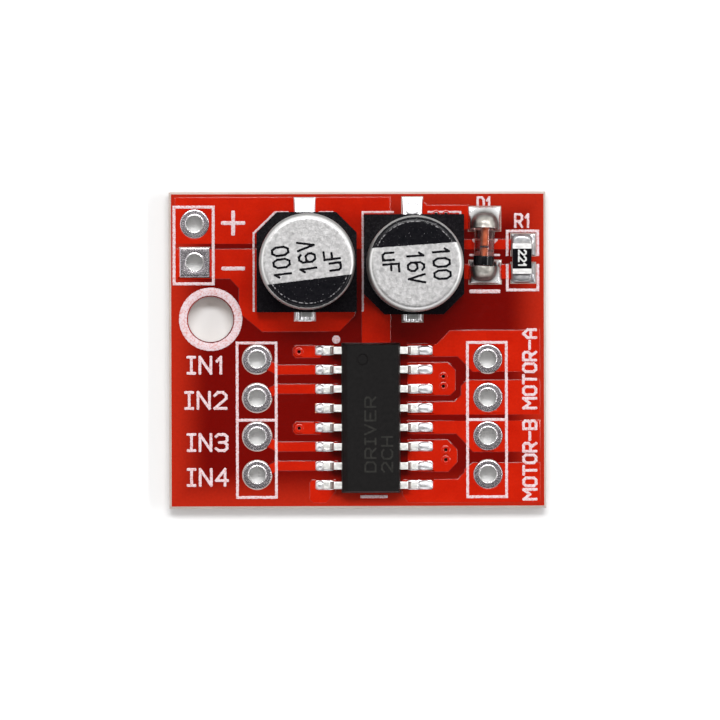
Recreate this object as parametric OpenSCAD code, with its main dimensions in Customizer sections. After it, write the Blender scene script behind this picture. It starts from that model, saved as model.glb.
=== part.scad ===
// A two-channel DC motor driver module: a small red circuit board with ten plated terminal holes, one
// mounting hole, a 16-pin driver chip, two chip-type electrolytic capacitors, a glass diode and a resistor.
// Origin at the centre of the board's underside, +X along the long side, +Z towards the components.

/* [Board] */
// Length of the board's top face, along X
board_l = 24.6; // [24.4:0.1:26]
// Width of the board's top face, along Y
board_w = 20.6; // [20.6:0.1:22]
// Thickness over both solder masks
board_t = 1.6; // [1.2:0.1:2]
// How far the snapped scoring web stands out past the top face
edge_out = 0.15; // [0.05:0.05:0.3]
// Height of the snapped web, at mid thickness
web_h = 0.5; // [0.3:0.05:0.7]
// Thickness of each copper layer
copper_t = 0.035; // [0.018:0.001:0.07]

/* [Mounting hole] */
// Diameter of the mounting hole
mount_d = 3; // [2.2:0.1:3.1]
// Place of the mounting hole
mount_at = [-9.7, 2.05];

/* [Terminals] */
// Pitch of the terminal holes
pitch = 2.54; // [2.54:0.01:2.6]
// Diameter of a finished terminal hole
hole_d = 1.1; // [0.9:0.05:1.15]
// Diameter of a terminal's round pad
pad_d = 1.9; // [1.8:0.05:2]
// Side of the square pad that marks the supply's negative terminal
square_pad = 1.95; // [1.8:0.05:2]
// Place of the first input terminal, the one nearest +Y
input_at = [-6.65, -0.6];
// Pitches from the input column to the motor column
column_pitches = 6; // [6:1:6]
// Place of the supply's positive terminal
supply_at = [-10.75, 8.35];

/* [Driver chip] */
// Centre of the chip
chip_at = [0.84, -4.47];
// Length of the moulded body, along Y
chip_l = 9.9; // [9.8:0.05:10]
// Width of the moulded body, along X
chip_w = 3.9; // [3.8:0.05:4]
// Span over the tips of the leads
chip_span = 6.2; // [5.9:0.05:6.2]
// Height of the chip above the board
chip_h = 1.6; // [1.5:0.05:1.75]
// Leads on each side
chip_leads = 8; // [8:1:8]
// Pitch of the leads
lead_pitch = 1.27; // [1.27:0.01:1.27]

/* [Capacitors] */
// Diameter of a can
can_d = 6.3; // [6.1:0.1:6.4]
// Height of a capacitor above the board
can_h = 5.4; // [5.2:0.1:7.7]
// Side of the square base
base_w = 6.6; // [6.5:0.05:6.7]
// Centre of the supply capacitor
cap_1_at = [-3.37, 5.8];
// Centre of the logic capacitor, which is turned half round
cap_2_at = [3.71, 5.64];

/* [Diode] */
// Centre of the glass diode
diode_at = [8.35, 6.78];
// Overall length of the diode
diode_l = 3.5; // [3.3:0.05:3.6]
// Diameter of the diode's end caps
diode_d = 1.5; // [1.4:0.05:1.6]
// Turn of the diode away from square, as placed
diode_turn = -1.7; // [-3:0.1:3]

/* [Resistor] */
// Centre of the chip resistor
resistor_at = [10.85, 6];
// Length of the resistor
resistor_l = 2; // [1.9:0.05:2.1]
// Width of the resistor
resistor_w = 1.25; // [1.15:0.05:1.3]

/* [Legend] */
// Width of an outline printed on the board
line_w = 0.18; // [0.15:0.01:0.25]
// Width of a letter's stroke
letter_w = 0.18; // [0.12:0.01:0.22]

/* [Hidden] */
$fn = 64;

// Colours of the layers and pieces
laminate = "#d8c7a0";
copper = "#b87333";
mask_red = "#d21a0e";
ink_white = "#f6e9ea";
tin = "#c9cacc";
black = "#161617";
aluminium = "#cfd0d2";
rubber = "#2b2b2e";

// Heights of the board's layers
mask_t = 0.03;
bare_mask_t = 0.04;
core_z0 = mask_t + copper_t;
core_z1 = board_t - mask_t - copper_t;
copper_z1 = core_z1 + copper_t;
bare_z = core_z1 + bare_mask_t;
ink_t = 0.015;
slack = 1;

// Terminals
hole_r = hole_d / 2;
plating_t = 0.04;
drill_r = hole_r + plating_t;
pad_r = pad_d / 2;
lip_h = 0.03;
lip_r = hole_r + 0.1;
mask_relief = 0.05;
motor_x = input_at[0] + column_pitches * pitch;
input_places = [for (i = [0:3]) [input_at[0], input_at[1] - i * pitch]];
motor_places = [for (i = [0:3]) [motor_x, input_at[1] - i * pitch]];
supply_places = [supply_at, supply_at - [0, pitch]];

// Vias: pairs under the motor side, one on each logic stub, two at the logic capacitor
via_r = 0.15;
via_wall = 0.04;
via_ring_r = 0.265;
via_rise = 0.015;
stub_vias = [[-3.87, -0.1], [-3.87, -5.15]];
island_vias = [[5.65, -1.75], [5.65, -2.4], [5.8, -6.6], [5.8, -7.25]];
ground_vias = [[5.2, 8.95], [5.85, 8.95]];
logic_via = [3.6, 4.2];
via_places = concat(stub_vias, island_vias, ground_vias, [logic_via]);

// Rows of the chip's leads, pin 1 and pin 16 first
lead_y = [for (i = [0:chip_leads - 1]) ((chip_leads - 1) / 2 - i) * lead_pitch];
lead_w = 0.48;
lead_t = 0.2;
pad_row_w = 0.64;
left_pad_end = 3.66;
right_pad_end = 4.11;
pad_row_start = 2.4;

// Solder pads for the other parts, as [low x, low y, high x, high y]
cap_1_pad_plus = [-4.2, 7.9, -2.75, 10.1];
cap_1_pad_minus = [-4.2, 1.9, -2.75, 3.7];
cap_2_pad_minus = [2.95, 7.9, 4.3, 10.1];
cap_2_pad_plus = [2.95, 1.85, 4.3, 3.7];
diode_pad_upper = [7.35, 7.85, 9.45, 9.45];
diode_pad_lower = [7.38, 4.35, 9.48, 5.9];
resistor_pad_upper = [10.15, 6.2, 11.75, 7.65];
resistor_pad_lower = [10.15, 4.4, 11.75, 5.75];
bare_pads = [
    cap_2_pad_minus, cap_2_pad_plus, diode_pad_upper, diode_pad_lower, resistor_pad_upper,
    resistor_pad_lower];
pour_pads = [cap_1_pad_plus, cap_1_pad_minus];

// ---------------------------------------------------------------- shared shapes

// A 2D shape in X and Z, drawn out along Y and centred there
module along_y(length) translate([0, length / 2, 0]) rotate([90, 0, 0]) linear_extrude(length) children();

// A 2D shape in Y and Z, drawn out along X and centred there
module along_x(length) translate([-length / 2, 0, 0]) rotate([90, 0, 90]) linear_extrude(length) children();

// A rectangle given by its corners, grown on every side
module rect(box, grow = 0)
    translate([box[0] - grow, box[1] - grow])
        square([box[2] - box[0] + 2 * grow, box[3] - box[1] + 2 * grow]);

// A 2D shape as a layer between two heights
module layer(z0, z1) translate([0, 0, z0]) linear_extrude(z1 - z0) children();

// A straight stroke with cut corners at its ends
module stroke(a, b, w) {
    run = norm(b - a);
    turn = atan2(b[1] - a[1], b[0] - a[0]);
    h = w / 2;
    c = h * 0.45;
    translate(a) rotate(turn) polygon([
        [-h, -h + c], [-h + c, -h], [run + h - c, -h], [run + h, -h + c],
        [run + h, h - c], [run + h - c, h], [-h + c, h], [-h, h - c]]);
}

// Strokes through a list of points
module path(points, w) for (i = [1:len(points) - 1]) stroke(points[i - 1], points[i], w);

// A hollow rectangle whose outer corners are given
module frame(box, w) difference() {
    rect(box);
    rect(box, -w);
}

// ---------------------------------------------------------------- plain stroke letters

// Width of a character, for a height of 1
function glyph_w(c) =
    c == "I" ? 0.4 : c == "1" ? 0.5 : c == "M" ? 0.8 : c == " " ? 0.4 : c == "-" ? 0.6 : 0.65;

// The strokes of a character, for a height of 1
function glyph(c) =
    c == "A" ? [[[0, 0], [0, 0.65], [0.325, 1], [0.65, 0.65], [0.65, 0]], [[0, 0.4], [0.65, 0.4]]] :
    c == "B" ? [[[0, 0], [0, 1], [0.5, 1], [0.65, 0.87], [0.65, 0.62], [0.5, 0.5], [0, 0.5]],
        [[0.5, 0.5], [0.65, 0.37], [0.65, 0.13], [0.5, 0], [0, 0]]] :
    c == "C" ? [[[0.65, 0.85], [0.5, 1], [0.2, 1], [0, 0.8], [0, 0.2], [0.2, 0], [0.5, 0], [0.65, 0.15]]] :
    c == "D" ? [[[0, 0], [0, 1], [0.45, 1], [0.65, 0.8], [0.65, 0.2], [0.45, 0], [0, 0]]] :
    c == "E" ? [[[0.65, 0], [0, 0], [0, 1], [0.65, 1]], [[0, 0.5], [0.5, 0.5]]] :
    c == "F" ? [[[0, 0], [0, 1], [0.65, 1]], [[0, 0.5], [0.5, 0.5]]] :
    c == "H" ? [[[0, 0], [0, 1]], [[0.65, 0], [0.65, 1]], [[0, 0.5], [0.65, 0.5]]] :
    c == "I" ? [[[0.2, 0], [0.2, 1]], [[0, 0], [0.4, 0]], [[0, 1], [0.4, 1]]] :
    c == "M" ? [[[0, 0], [0, 1], [0.4, 0.5], [0.8, 1], [0.8, 0]]] :
    c == "N" ? [[[0, 0], [0, 1], [0.65, 0], [0.65, 1]]] :
    c == "O" ? [[[0.18, 0], [0, 0.18], [0, 0.82], [0.18, 1], [0.47, 1], [0.65, 0.82], [0.65, 0.18],
        [0.47, 0], [0.18, 0]]] :
    c == "R" ? [[[0, 0], [0, 1], [0.5, 1], [0.65, 0.87], [0.65, 0.6], [0.5, 0.45], [0, 0.45]],
        [[0.3, 0.45], [0.65, 0]]] :
    c == "T" ? [[[0.325, 0], [0.325, 1]], [[0, 1], [0.65, 1]]] :
    c == "V" ? [[[0, 1], [0.325, 0], [0.65, 1]]] :
    c == "u" ? [[[0, 0.7], [0, 0.15], [0.15, 0], [0.45, 0], [0.6, 0.15]], [[0.6, 0.7], [0.6, 0]]] :
    c == "0" ? [[[0.18, 0], [0, 0.25], [0, 0.75], [0.18, 1], [0.47, 1], [0.65, 0.75], [0.65, 0.25],
        [0.47, 0], [0.18, 0]]] :
    c == "1" ? [[[0.05, 0.75], [0.28, 1], [0.28, 0]]] :
    c == "2" ? [[[0, 0.8], [0.18, 1], [0.47, 1], [0.65, 0.8], [0.65, 0.62], [0, 0], [0.65, 0]]] :
    c == "3" ? [[[0, 0.87], [0.15, 1], [0.5, 1], [0.65, 0.87], [0.65, 0.63], [0.5, 0.5], [0.2, 0.5]],
        [[0.5, 0.5], [0.65, 0.37], [0.65, 0.13], [0.5, 0], [0.15, 0], [0, 0.13]]] :
    c == "4" ? [[[0.5, 0], [0.5, 1], [0, 0.3], [0.65, 0.3]]] :
    c == "6" ? [[[0.6, 0.88], [0.45, 1], [0.2, 1], [0, 0.78], [0, 0.2], [0.18, 0], [0.47, 0], [0.65, 0.2],
        [0.65, 0.4], [0.47, 0.57], [0.18, 0.57], [0, 0.42]]] :
    c == "-" ? [[[0, 0.5], [0.6, 0.5]]] :
    [];

// Where a character starts, with a gap of 0.3 between characters
function start_of(s, i) = i == 0 ? 0 : start_of(s, i - 1) + glyph_w(s[i - 1]) + 0.3;

// A line of characters that fills a box of the given outer size, from its lower left corner
module label(s, size, w) {
    total = start_of(s, len(s)) - 0.3;
    k = [(size[0] - w) / total, size[1] - w];
    for (i = [0:len(s) - 1], line = glyph(s[i]))
        path([for (p = line) [w / 2 + (start_of(s, i) + p[0]) * k[0], w / 2 + p[1] * k[1]]], w);
}

// ---------------------------------------------------------------- printed circuit board

// The board's side view: scored from both faces and snapped at a web in the middle
function edge_profile(half) = [
    [-half, core_z0], [-half - edge_out, (board_t - web_h) / 2], [-half - edge_out, (board_t + web_h) / 2],
    [-half, core_z1], [half, core_z1], [half + edge_out, (board_t + web_h) / 2],
    [half + edge_out, (board_t - web_h) / 2], [half, core_z0]];

module outline() square([board_l, board_w], center = true);

module terminal_pads(grow = 0) {
    for (p = concat(input_places, motor_places, [supply_places[0]])) translate(p) circle(pad_r + grow);
    translate(supply_places[1]) square(square_pad + 2 * grow, center = true);
}

module terminal_drills(r) for (p = concat(input_places, motor_places, supply_places)) translate(p) circle(r);

module via_drills(r) for (p = via_places) translate(p) circle(r);

module mount_hole_2d() translate(mount_at) circle(mount_d / 2);

module board_core() color(laminate) difference() {
    intersection() {
        along_y(board_w + slack) polygon(edge_profile(board_l / 2));
        along_x(board_l + slack) polygon(edge_profile(board_w / 2));
    }
    layer(-slack, board_t + slack) {
        terminal_drills(drill_r);
        via_drills(via_r);
        mount_hole_2d();
    }
}

// Chip pads, as two rows of rounded bars
module chip_pads(side, end) translate(chip_at) for (y = lead_y)
    translate([side > 0 ? pad_row_start : -end, y - pad_row_w / 2]) square([end - pad_row_start, pad_row_w]);

module smd_pads_2d(grow = 0) {
    for (b = bare_pads) rect(b, grow);
    for (b = pour_pads) rect(b);
    chip_pads(-1, left_pad_end);
    chip_pads(1, right_pad_end);
}

// Supply pour along the upper edge, and its strip down between the capacitors to the chip
module plus_pour() polygon([
    [-12, 7.05], [-12, 10.05], [2.15, 10.05], [2.15, -8.9], [0.3, -8.9], [0.3, 6.7], [-0.2, 6.7],
    [-0.2, 7.05]]);

// Ground pour from the square pad to the supply capacitor
module minus_pour() polygon([
    [-12, 6.65], [-12, 4.75], [-8.4, 4.75], [-7.8, 4.1], [-7.8, 2.5], [-6.3, 1.25], [-1.2, 1.25],
    [-0.2, 2.3], [-0.2, 6.3], [-0.55, 6.65]]);

// One signal track from an input terminal to its chip pad
track_w = 0.57;
module input_track(i, pin) {
    y = chip_at[1] + lead_y[pin];
    knee = input_places[i][0] + 1.35;
    path([input_places[i], [knee, y], [chip_at[0] - pad_row_start, y]], track_w);
}

// Logic supply stub with its via
module via_stub(via) {
    stub_w = 0.75;
    stroke(via, [chip_at[0] - left_pad_end + 0.1, via[1]], stub_w);
}

// Corner piece under the chip's last left lead
module corner_pour() polygon([
    [-3.15, -8.75], [-3.15, -9.85], [-2.95, -10.05], [-2.1, -10.05], [-1.5, -9.3], [-1.5, -8.6], [-3, -8.6]]);

// Motor outputs: four pours around two ground islands
module motor_pours() {
    polygon([[3.3, 0.35], [5.2, 0.35], [6.1, 1.25], [12, 1.25], [12, -1.43], [7.6, -1.43], [7.1, -0.9],
        [6.6, -0.42], [3.3, -0.42]]);
    polygon([[7.2, -2.04], [12, -2.04], [12, -4.26], [3.3, -4.26], [3.3, -3.45], [6.4, -3.45],
        [6.85, -3], [6.85, -2.4]]);
    polygon([[3.3, -4.7], [12, -4.7], [12, -6.72], [7.6, -6.72], [7.06, -6.1], [6.5, -5.52], [3.3, -5.52]]);
    polygon([[7.6, -7.49], [12, -7.49], [12, -10.05], [3.3, -10.05], [2.95, -9.5], [2.95, -8.6],
        [6.6, -8.55], [7.06, -8.1], [7.06, -7.9]]);
}

module islands() {
    polygon([[3.3, -0.87], [5.95, -0.87], [6.42, -1.35], [6.42, -2.65], [6.1, -2.97], [3.3, -2.97]]);
    polygon([[3.3, -5.97], [5.9, -5.97], [6.53, -6.6], [6.53, -7.4], [5.95, -8.02], [3.3, -8.02]]);
}

// Ground copper between the logic capacitor and the diode
module diode_ground() polygon([
    [2.95, 7.9], [2.95, 10.1], [4.3, 10.1], [4.3, 9.8], [4.6, 9.5], [7.4, 9.5], [7.4, 8.05], [6.9, 7.9]]);

// Feed from the supply strip to the resistor, and logic supply from the resistor to the capacitor
module logic_tracks() {
    rect([2.1, 6.65, 10.3, 7.25]);
    rect([2.95, 4.7, 10.3, 5.6]);
    rect([2.95, 1.85, 4.3, 5.6]);
}

module copper_top_2d() difference() {
    union() {
        plus_pour();
        minus_pour();
        input_track(0, 1);
        input_track(1, 2);
        input_track(2, 5);
        input_track(3, 6);
        for (v = stub_vias) via_stub(v);
        corner_pour();
        motor_pours();
        islands();
        diode_ground();
        logic_tracks();
        smd_pads_2d();
    }
    terminal_pads();
    via_drills(via_r);
}

// Underside: one ground pour, and the logic supply's track round to the stub vias
module back_track(grow) {
    back_w = 0.6;
    path([logic_via, [-3.87, 2.6], stub_vias[0], stub_vias[1]], back_w + 2 * grow);
}

module copper_bottom_2d() {
    gap = 0.3;
    inset = 0.35;
    difference() {
        square([board_l - 2 * inset, board_w - 2 * inset], center = true);
        terminal_pads(gap);
        translate(mount_at) circle(mount_d / 2 + gap);
        back_track(gap);
        via_drills(via_r);
    }
    difference() {
        back_track(0);
        via_drills(via_r);
    }
    // the supply's square pad is joined to the ground pour by four spokes
    spoke_w = 0.5;
    for (side = [0:3]) translate(supply_places[1]) rotate(side * 90)
        translate([square_pad / 2, -spoke_w / 2]) square([gap + 0.01, spoke_w]);
}

module copper_top() color(copper) layer(core_z1, copper_z1) copper_top_2d();

module copper_bottom() color(copper) layer(mask_t, core_z0) copper_bottom_2d();

module mask_openings() {
    smd_pads_2d(mask_relief);
    terminal_pads(mask_relief);
    via_drills(via_r - via_wall);
    mount_hole_2d();
}

module solder_mask_top() color(mask_red) {
    layer(core_z1, bare_z) difference() {
        outline();
        copper_top_2d();
        mask_openings();
        via_drills(via_ring_r);
    }
    layer(copper_z1, board_t) difference() {
        copper_top_2d();
        mask_openings();
        via_drills(via_ring_r);
    }
    // the mask climbs over each via's ring
    layer(copper_z1 + via_rise, board_t + via_rise) difference() {
        via_drills(via_ring_r + mask_t);
        via_drills(via_r - via_wall);
    }
}

module solder_mask_bottom() color(mask_red) {
    layer(core_z0 - bare_mask_t, core_z0) difference() {
        outline();
        copper_bottom_2d();
        terminal_pads(mask_relief);
        via_drills(via_r);
        mount_hole_2d();
    }
    layer(0, mask_t) difference() {
        copper_bottom_2d();
        terminal_pads(mask_relief);
        via_drills(via_r - via_wall);
    }
}

// Plated via barrels with a raised ring under the upper mask
module vias() color(copper) for (p = via_places) translate([p[0], p[1], mask_t]) difference() {
    union() {
        cylinder(h = copper_z1 - mask_t + via_rise, r = via_r);
        translate([0, 0, copper_z1 - mask_t]) cylinder(h = via_rise, r = via_ring_r);
    }
    translate([0, 0, -slack]) cylinder(h = board_t + 2 * slack, r = via_r - via_wall);
}

// Tin on the surface pads
module smd_pads() color(tin) layer(copper_z1, board_t) smd_pads_2d();

// ---------------------------------------------------------------- legend

supply_box = [-12.2, 4.3, -9.42, 9.55];
input_box = [-8.05, -9.8, -5.3, 0.57];
motor_box = [7.15, -9.8, 9.9, 0.57];

module sign_marks() {
    sign_w = 0.25;
    translate([-8.2, 8.4]) {
        stroke([-0.68, 0], [0.68, 0], sign_w);
        stroke([0, -0.7], [0, 0.7], sign_w);
    }
    translate([-8.2, 5.4]) stroke([-0.65, 0], [0.65, 0], sign_w);
}

// A row of four terminals, boxed in pairs
module pair_box(box) {
    mid = (box[1] + box[3]) / 2;
    frame(box, line_w);
    rect([box[0] + line_w, mid - line_w / 2, box[2] - line_w, mid + line_w / 2]);
}

module board_labels() {
    label_h = 1.24;
    names = ["IN1", "IN2", "IN3", "IN4"];
    lows = [-1.6, -3.92, -6.7, -9];
    widths = [2.6, 2.85, 2.75, 2.78];
    lefts = [-11.3, -11.45, -11.3, -11.3];
    for (i = [0:3]) translate([lefts[i], lows[i]]) label(names[i], [widths[i], label_h], letter_w);
    translate([11.85, -3.95]) rotate(90) label("MOTOR-A", [5.35, 1], letter_w);
    translate([11.85, -9.97]) rotate(90) label("MOTOR-B", [5.35, 1], letter_w);
    translate([10.35, 8.03]) label("R1", [1.15, 0.98], letter_w * 0.85);
    translate([7.87, 9.16]) label("D1", [1.05, 0.97], letter_w * 0.85);
}

// Outlines of the parts, left open where their pads are
module part_outlines() {
    w = line_w * 0.75;
    path([[-6.85, 2.6], [-6.85, 7.72], [-5.43, 9.1], [-4.6, 9.1]], w);
    path([[-2.5, 9.1], [-1.65, 9.1], [-0.27, 7.72]], w);
    path([[0.35, 2.6], [0.35, 9.1], [2.35, 9.1]], w);
    path([[4.7, 9.1], [6.8, 9.1], [6.8, 8.7]], w);
    // resistor frame, open at both sides
    difference() {
        frame([9.8, 3.85, 12, 7.92], line_w);
        rect([9, 5.65, 13, 6.18]);
    }
    // diode symbol, mostly under the glass, and the bar at its cathode side
    path([[7.45, 6.25], [9.35, 6.25]], w);
    path([[8.35, 6.3], [7.65, 7.25], [9.2, 7.25], [8.35, 6.3]], w);
    stroke([7.5, 3.85], [9.3, 3.85], 0.25);
    // pin 1 dot and the bar at the chip's other end
    translate([-1.42, 0.7]) circle(0.27);
    rect([0.15, -9.78, 1.95, -9.58]);
}

module mount_ring() {
    translate(mount_at) difference() {
        circle(mount_d / 2 + 0.59);
        circle(mount_d / 2 + 0.07);
    }
}

module legend_2d() {
    frame(supply_box, line_w * 1.05);
    pair_box(input_box);
    pair_box(motor_box);
    sign_marks();
    board_labels();
    part_outlines();
    mount_ring();
}

module legend_top() color(ink_white) difference() {
    layer(bare_z, board_t + ink_t) difference() {
        legend_2d();
        mask_openings();
    }
    layer(bare_z - slack, board_t) copper_top_2d();
}

// ---------------------------------------------------------------- terminals

// A plated hole with a pad on each face and a rounded tin lip on the upper one
module terminal(place, square = false) color(tin) translate([place[0], place[1], 0]) difference() {
    union() {
        cylinder(h = board_t, r = drill_r);
        for (z = [0, core_z1]) translate([0, 0, z]) linear_extrude(core_z0)
            if (square) square(square_pad, center = true);
            else circle(pad_r);
        translate([0, 0, board_t]) cylinder(h = lip_h, r1 = lip_r, r2 = (hole_r + lip_r) / 2);
    }
    translate([0, 0, -slack]) cylinder(h = board_t + 2 * slack, r = hole_r);
}

// ---------------------------------------------------------------- electrolytic capacitors

base_z = board_t + 0.05;
base_t = 0.35;
corner_t = 1.1;
can_z = base_z + base_t;
can_top = board_t + can_h;
can_r = can_d / 2;
can_wall = 0.25;
seat_r = can_r + 0.02;
bead_z = can_z + 1.05;
bead_depth = 0.2;
seal_t = 1.6;
tab_w = 0.65;
tab_t = 0.2;
tab_reach = 3.6;
post_x = 1.1;
post_r = 0.25;
print_t = 0.01;

module place(at, turn) translate([at[0], at[1], 0]) rotate(turn) children();

// The base's outline, with the two corners at the positive side cut off
module base_outline() {
    h = base_w / 2;
    cut = 1.35;
    polygon([[-h, -h], [h, -h], [h, h - cut], [h - cut, h], [-h + cut, h], [-h, h - cut]]);
}

// One lead: a round post up into the winding, and a flat tab out along the base's underside
post_top = can_z + seal_t + 0.4;
module cap_lead(side) color(tin) {
    translate([-tab_w / 2, side > 0 ? post_x - post_r : -tab_reach, board_t])
        cube([tab_w, tab_reach - post_x + post_r, tab_t]);
    translate([0, side * post_x, board_t + tab_t]) cylinder(h = post_top - board_t - tab_t, r = post_r);
}

module cap_base() color(black) difference() {
    layer(base_z, base_z + corner_t) base_outline();
    translate([0, 0, can_z]) cylinder(h = corner_t, r = seat_r);
    // grooves under the tabs and holes for the posts
    for (side = [-1, 1]) cap_lead(side);
}

// Points along an arc about a centre, from one angle to another
function arc(c, r, a0, a1, n) = [for (i = [0:n]) let (a = a0 + (a1 - a0) * i / n) c + r * [cos(a), sin(a)]];

// The can's wall from its mouth up: straight, rolled in at the bead, straight, and rounded over at the top
edge_r = 0.4;
roll_r = 0.28;
roll_offset = 0.08;
can_skin = concat(
    [[can_r, can_z]],
    arc([can_r + roll_offset, bead_z], roll_r, 253, 107, 8),
    arc([can_r - edge_r, can_top - edge_r], edge_r, 0, 90, 8));
inner_r = can_r - can_wall;
can_liner = concat(
    [[0, can_top - can_wall], [inner_r - 0.2, can_top - can_wall], [inner_r, can_top - can_wall - 0.2]],
    [[inner_r, bead_z + 0.35], [inner_r - bead_depth, bead_z + 0.15], [inner_r - bead_depth, bead_z - 0.15],
    [inner_r, bead_z - 0.35], [inner_r, can_z]]);

module cap_can() color(aluminium) rotate_extrude() polygon(concat(can_skin, [[0, can_top]], can_liner));

// The seal fills the can's mouth and takes the shape of the bead
module cap_seal() color(rubber) difference() {
    rotate_extrude() polygon([
        [0, can_z], [inner_r, can_z], [inner_r, bead_z - 0.35], [inner_r - bead_depth, bead_z - 0.15],
        [inner_r - bead_depth, bead_z + 0.15], [inner_r, bead_z + 0.35], [inner_r, can_z + seal_t],
        [0, can_z + seal_t]]);
    for (side = [-1, 1]) cap_lead(side);
}

// The wound foil and paper, clear of the can's wall and roof
winding_gap = 0.25;
module cap_winding() color("#8d8266") difference() {
    translate([0, 0, can_z + seal_t])
        cylinder(h = can_top - can_wall - winding_gap - can_z - seal_t, r = inner_r - winding_gap);
    for (side = [-1, 1]) cap_lead(side);
}

// Ink on the can: the negative side's segment, and three short lines of figures
module cap_print(turn) color(black) layer(can_top, can_top + print_t) rotate(turn) {
    ink_r = can_r - edge_r * 0.6;
    intersection() {
        circle(ink_r);
        translate([-can_r, -can_r]) square([can_d, can_r - 1.2]);
    }
    figure_w = 0.15;
    translate([-1.09, -0.95]) rotate(90) label("100", [2.15, 1.2], figure_w);
    translate([0.6, -0.8]) rotate(90) label("16V", [2.15, 1.2], figure_w);
    translate([2.2, -0.88]) rotate(90) label("uF", [1.4, 1.16], figure_w);
}

// Solder around a tab on its pad, reaching out past the tab's end
module cap_solder(side, out) color(tin) {
    fillet_w = 0.95;
    difference() {
        translate([0, side * (tab_reach + 0.05), board_t]) along_x(fillet_w) mirror([side > 0 ? 0 : 1, 0])
            polygon([[-0.4, 0], [out, 0], [out * 0.7, 0.1], [0.05, 0.28], [-0.4, 0.28]]);
        cap_lead(side);
        layer(base_z, can_top) base_outline();
    }
}

// The pads nearest +Y are long, and the two nearest the chip end just past their tabs
module solder_capacitor_1() place(cap_1_at, 0) {
    cap_solder(1, 0.5);
    cap_solder(-1, 0.22);
}

module solder_capacitor_2() place(cap_2_at, 180) {
    cap_solder(-1, 0.5);
    cap_solder(1, 0.1);
}

// ---------------------------------------------------------------- driver chip

body_z0 = board_t + 0.15;
body_z1 = board_t + chip_h;
part_z = (body_z0 + body_z1) / 2 + 0.05;
draft = 0.12;
ridge = 0.38;

// Both side views of the moulded body: drafted above and below the leads
function mould(half) = [
    [-half + draft, body_z0], [-half, part_z], [-half + draft, body_z1],
    [half - draft, body_z1], [half, part_z], [half - draft, body_z0]];

// The body's end view: its upper edge on the pin 1 side is cut away
function mould_end(half) = [
    [-half + draft, body_z0], [-half, part_z], [-half + draft * 0.6, body_z1 - ridge],
    [-half + ridge, body_z1], [half - draft, body_z1], [half, part_z], [half - draft, body_z0]];

// Side view of a lead: a finger inside the body, a shoulder, a slope and a foot on the pad
finger_x = 1.25;
knee_x = 2.4;
ankle_x = 2.62;
tip_x = chip_span / 2;
function lead_side() = [
    [finger_x, part_z - lead_t / 2], [knee_x - 0.12, part_z - lead_t / 2],
    [knee_x - 0.03, part_z - lead_t / 2 - 0.08], [ankle_x - 0.16, board_t + 0.1],
    [ankle_x - 0.02, board_t], [tip_x, board_t], [tip_x, board_t + lead_t],
    [ankle_x + 0.08, board_t + lead_t], [ankle_x + 0.03, board_t + lead_t + 0.05],
    [knee_x + 0.15, part_z - 0.05], [knee_x + 0.02, part_z + lead_t / 2],
    [finger_x, part_z + lead_t / 2]];

module lead(side) along_y(lead_w) mirror([side > 0 ? 0 : 1, 0]) polygon(lead_side());

module chip_leads_on(side) color(tin) place(chip_at, 0) for (y = lead_y) translate([0, y, 0]) lead(side);

paddle = [1.7, 4.6];
paddle_t = 0.2;
die = [1.2, 2.6];
die_t = 0.25;

module die_paddle() color(copper) place(chip_at, 0)
    translate([-paddle[0] / 2, -paddle[1] / 2, part_z - lead_t / 2]) cube([paddle[0], paddle[1], paddle_t]);

module die() color("#5a5f66") place(chip_at, 0)
    translate([-die[0] / 2, -die[1] / 2, part_z + lead_t / 2]) cube([die[0], die[1], die_t]);

// One bonding wire: up from the die, out in a low arch and down on a lead's finger
wire_t = 0.05;
die_top = part_z + lead_t / 2 + die_t;
finger_top = part_z + lead_t / 2;
module bond_wire(side, y) {
    start = [side * 0.5, y * 0.27];
    end = [side * 1.45, y];
    run = norm(end - start);
    translate(start) rotate(atan2(end[1] - start[1], end[0] - start[0])) along_y(wire_t) polygon([
        [0, die_top], [0.05, die_top], [0.12, die_top + 0.1], [run - 0.1, finger_top + 0.1],
        [run, finger_top], [run + 0.1, finger_top], [run - 0.05, finger_top + 0.16], [0.1, die_top + 0.15]]);
}

module bond_wires() color("gold") place(chip_at, 0) for (side = [-1, 1], y = lead_y) bond_wire(side, y);

dimple_r = 0.36;
dimple_depth = 0.1;
module driver_body() color(black) difference() {
    place(chip_at, 0) intersection() {
        along_y(chip_l + slack) polygon(mould_end(chip_w / 2));
        along_x(chip_w + slack) polygon(mould(chip_l / 2));
    }
    chip_leads_on(-1);
    chip_leads_on(1);
    die_paddle();
    die();
    bond_wires();
    // pin 1 dimple
    place(chip_at, 0) translate([1.4 - chip_w / 2, chip_l / 2 - 1.1, body_z1 - dimple_depth])
        cylinder(h = slack, r = dimple_r);
}

module driver_print() color("#3a3a3c") place(chip_at, 0) layer(body_z1, body_z1 + print_t) {
    translate([0.35, -3.6]) rotate(90) label("DRIVER", [5, 0.8], 0.12);
    translate([1.45, -3.6]) rotate(90) label("2CH", [2.4, 0.8], 0.12);
}

// Solder fillet beyond a lead's tip, falling to the pad's end
module driver_solder(side, end) color(tin) place(chip_at, 0) for (y = lead_y) translate([0, y, 0])
    along_y(pad_row_w - 0.08) mirror([side > 0 ? 0 : 1, 0]) polygon([
        [tip_x, board_t], [end - 0.04, board_t], [end - 0.12, board_t + 0.09],
        [(tip_x + end) / 2, board_t + 0.15], [tip_x, board_t + 0.19]]);

// ---------------------------------------------------------------- glass diode

diode_r = diode_d / 2;
glass_r = 0.66;
bore_r = 0.46;
cap_l = 0.48;
diode_z = board_t + diode_r;
chip_half = 0.06;

// Everything in the diode is turned about its own long axis, which lies along Y
module diode_frame()
    translate([diode_at[0], diode_at[1], diode_z]) rotate(diode_turn) rotate([-90, 0, 0]) children();

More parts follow.
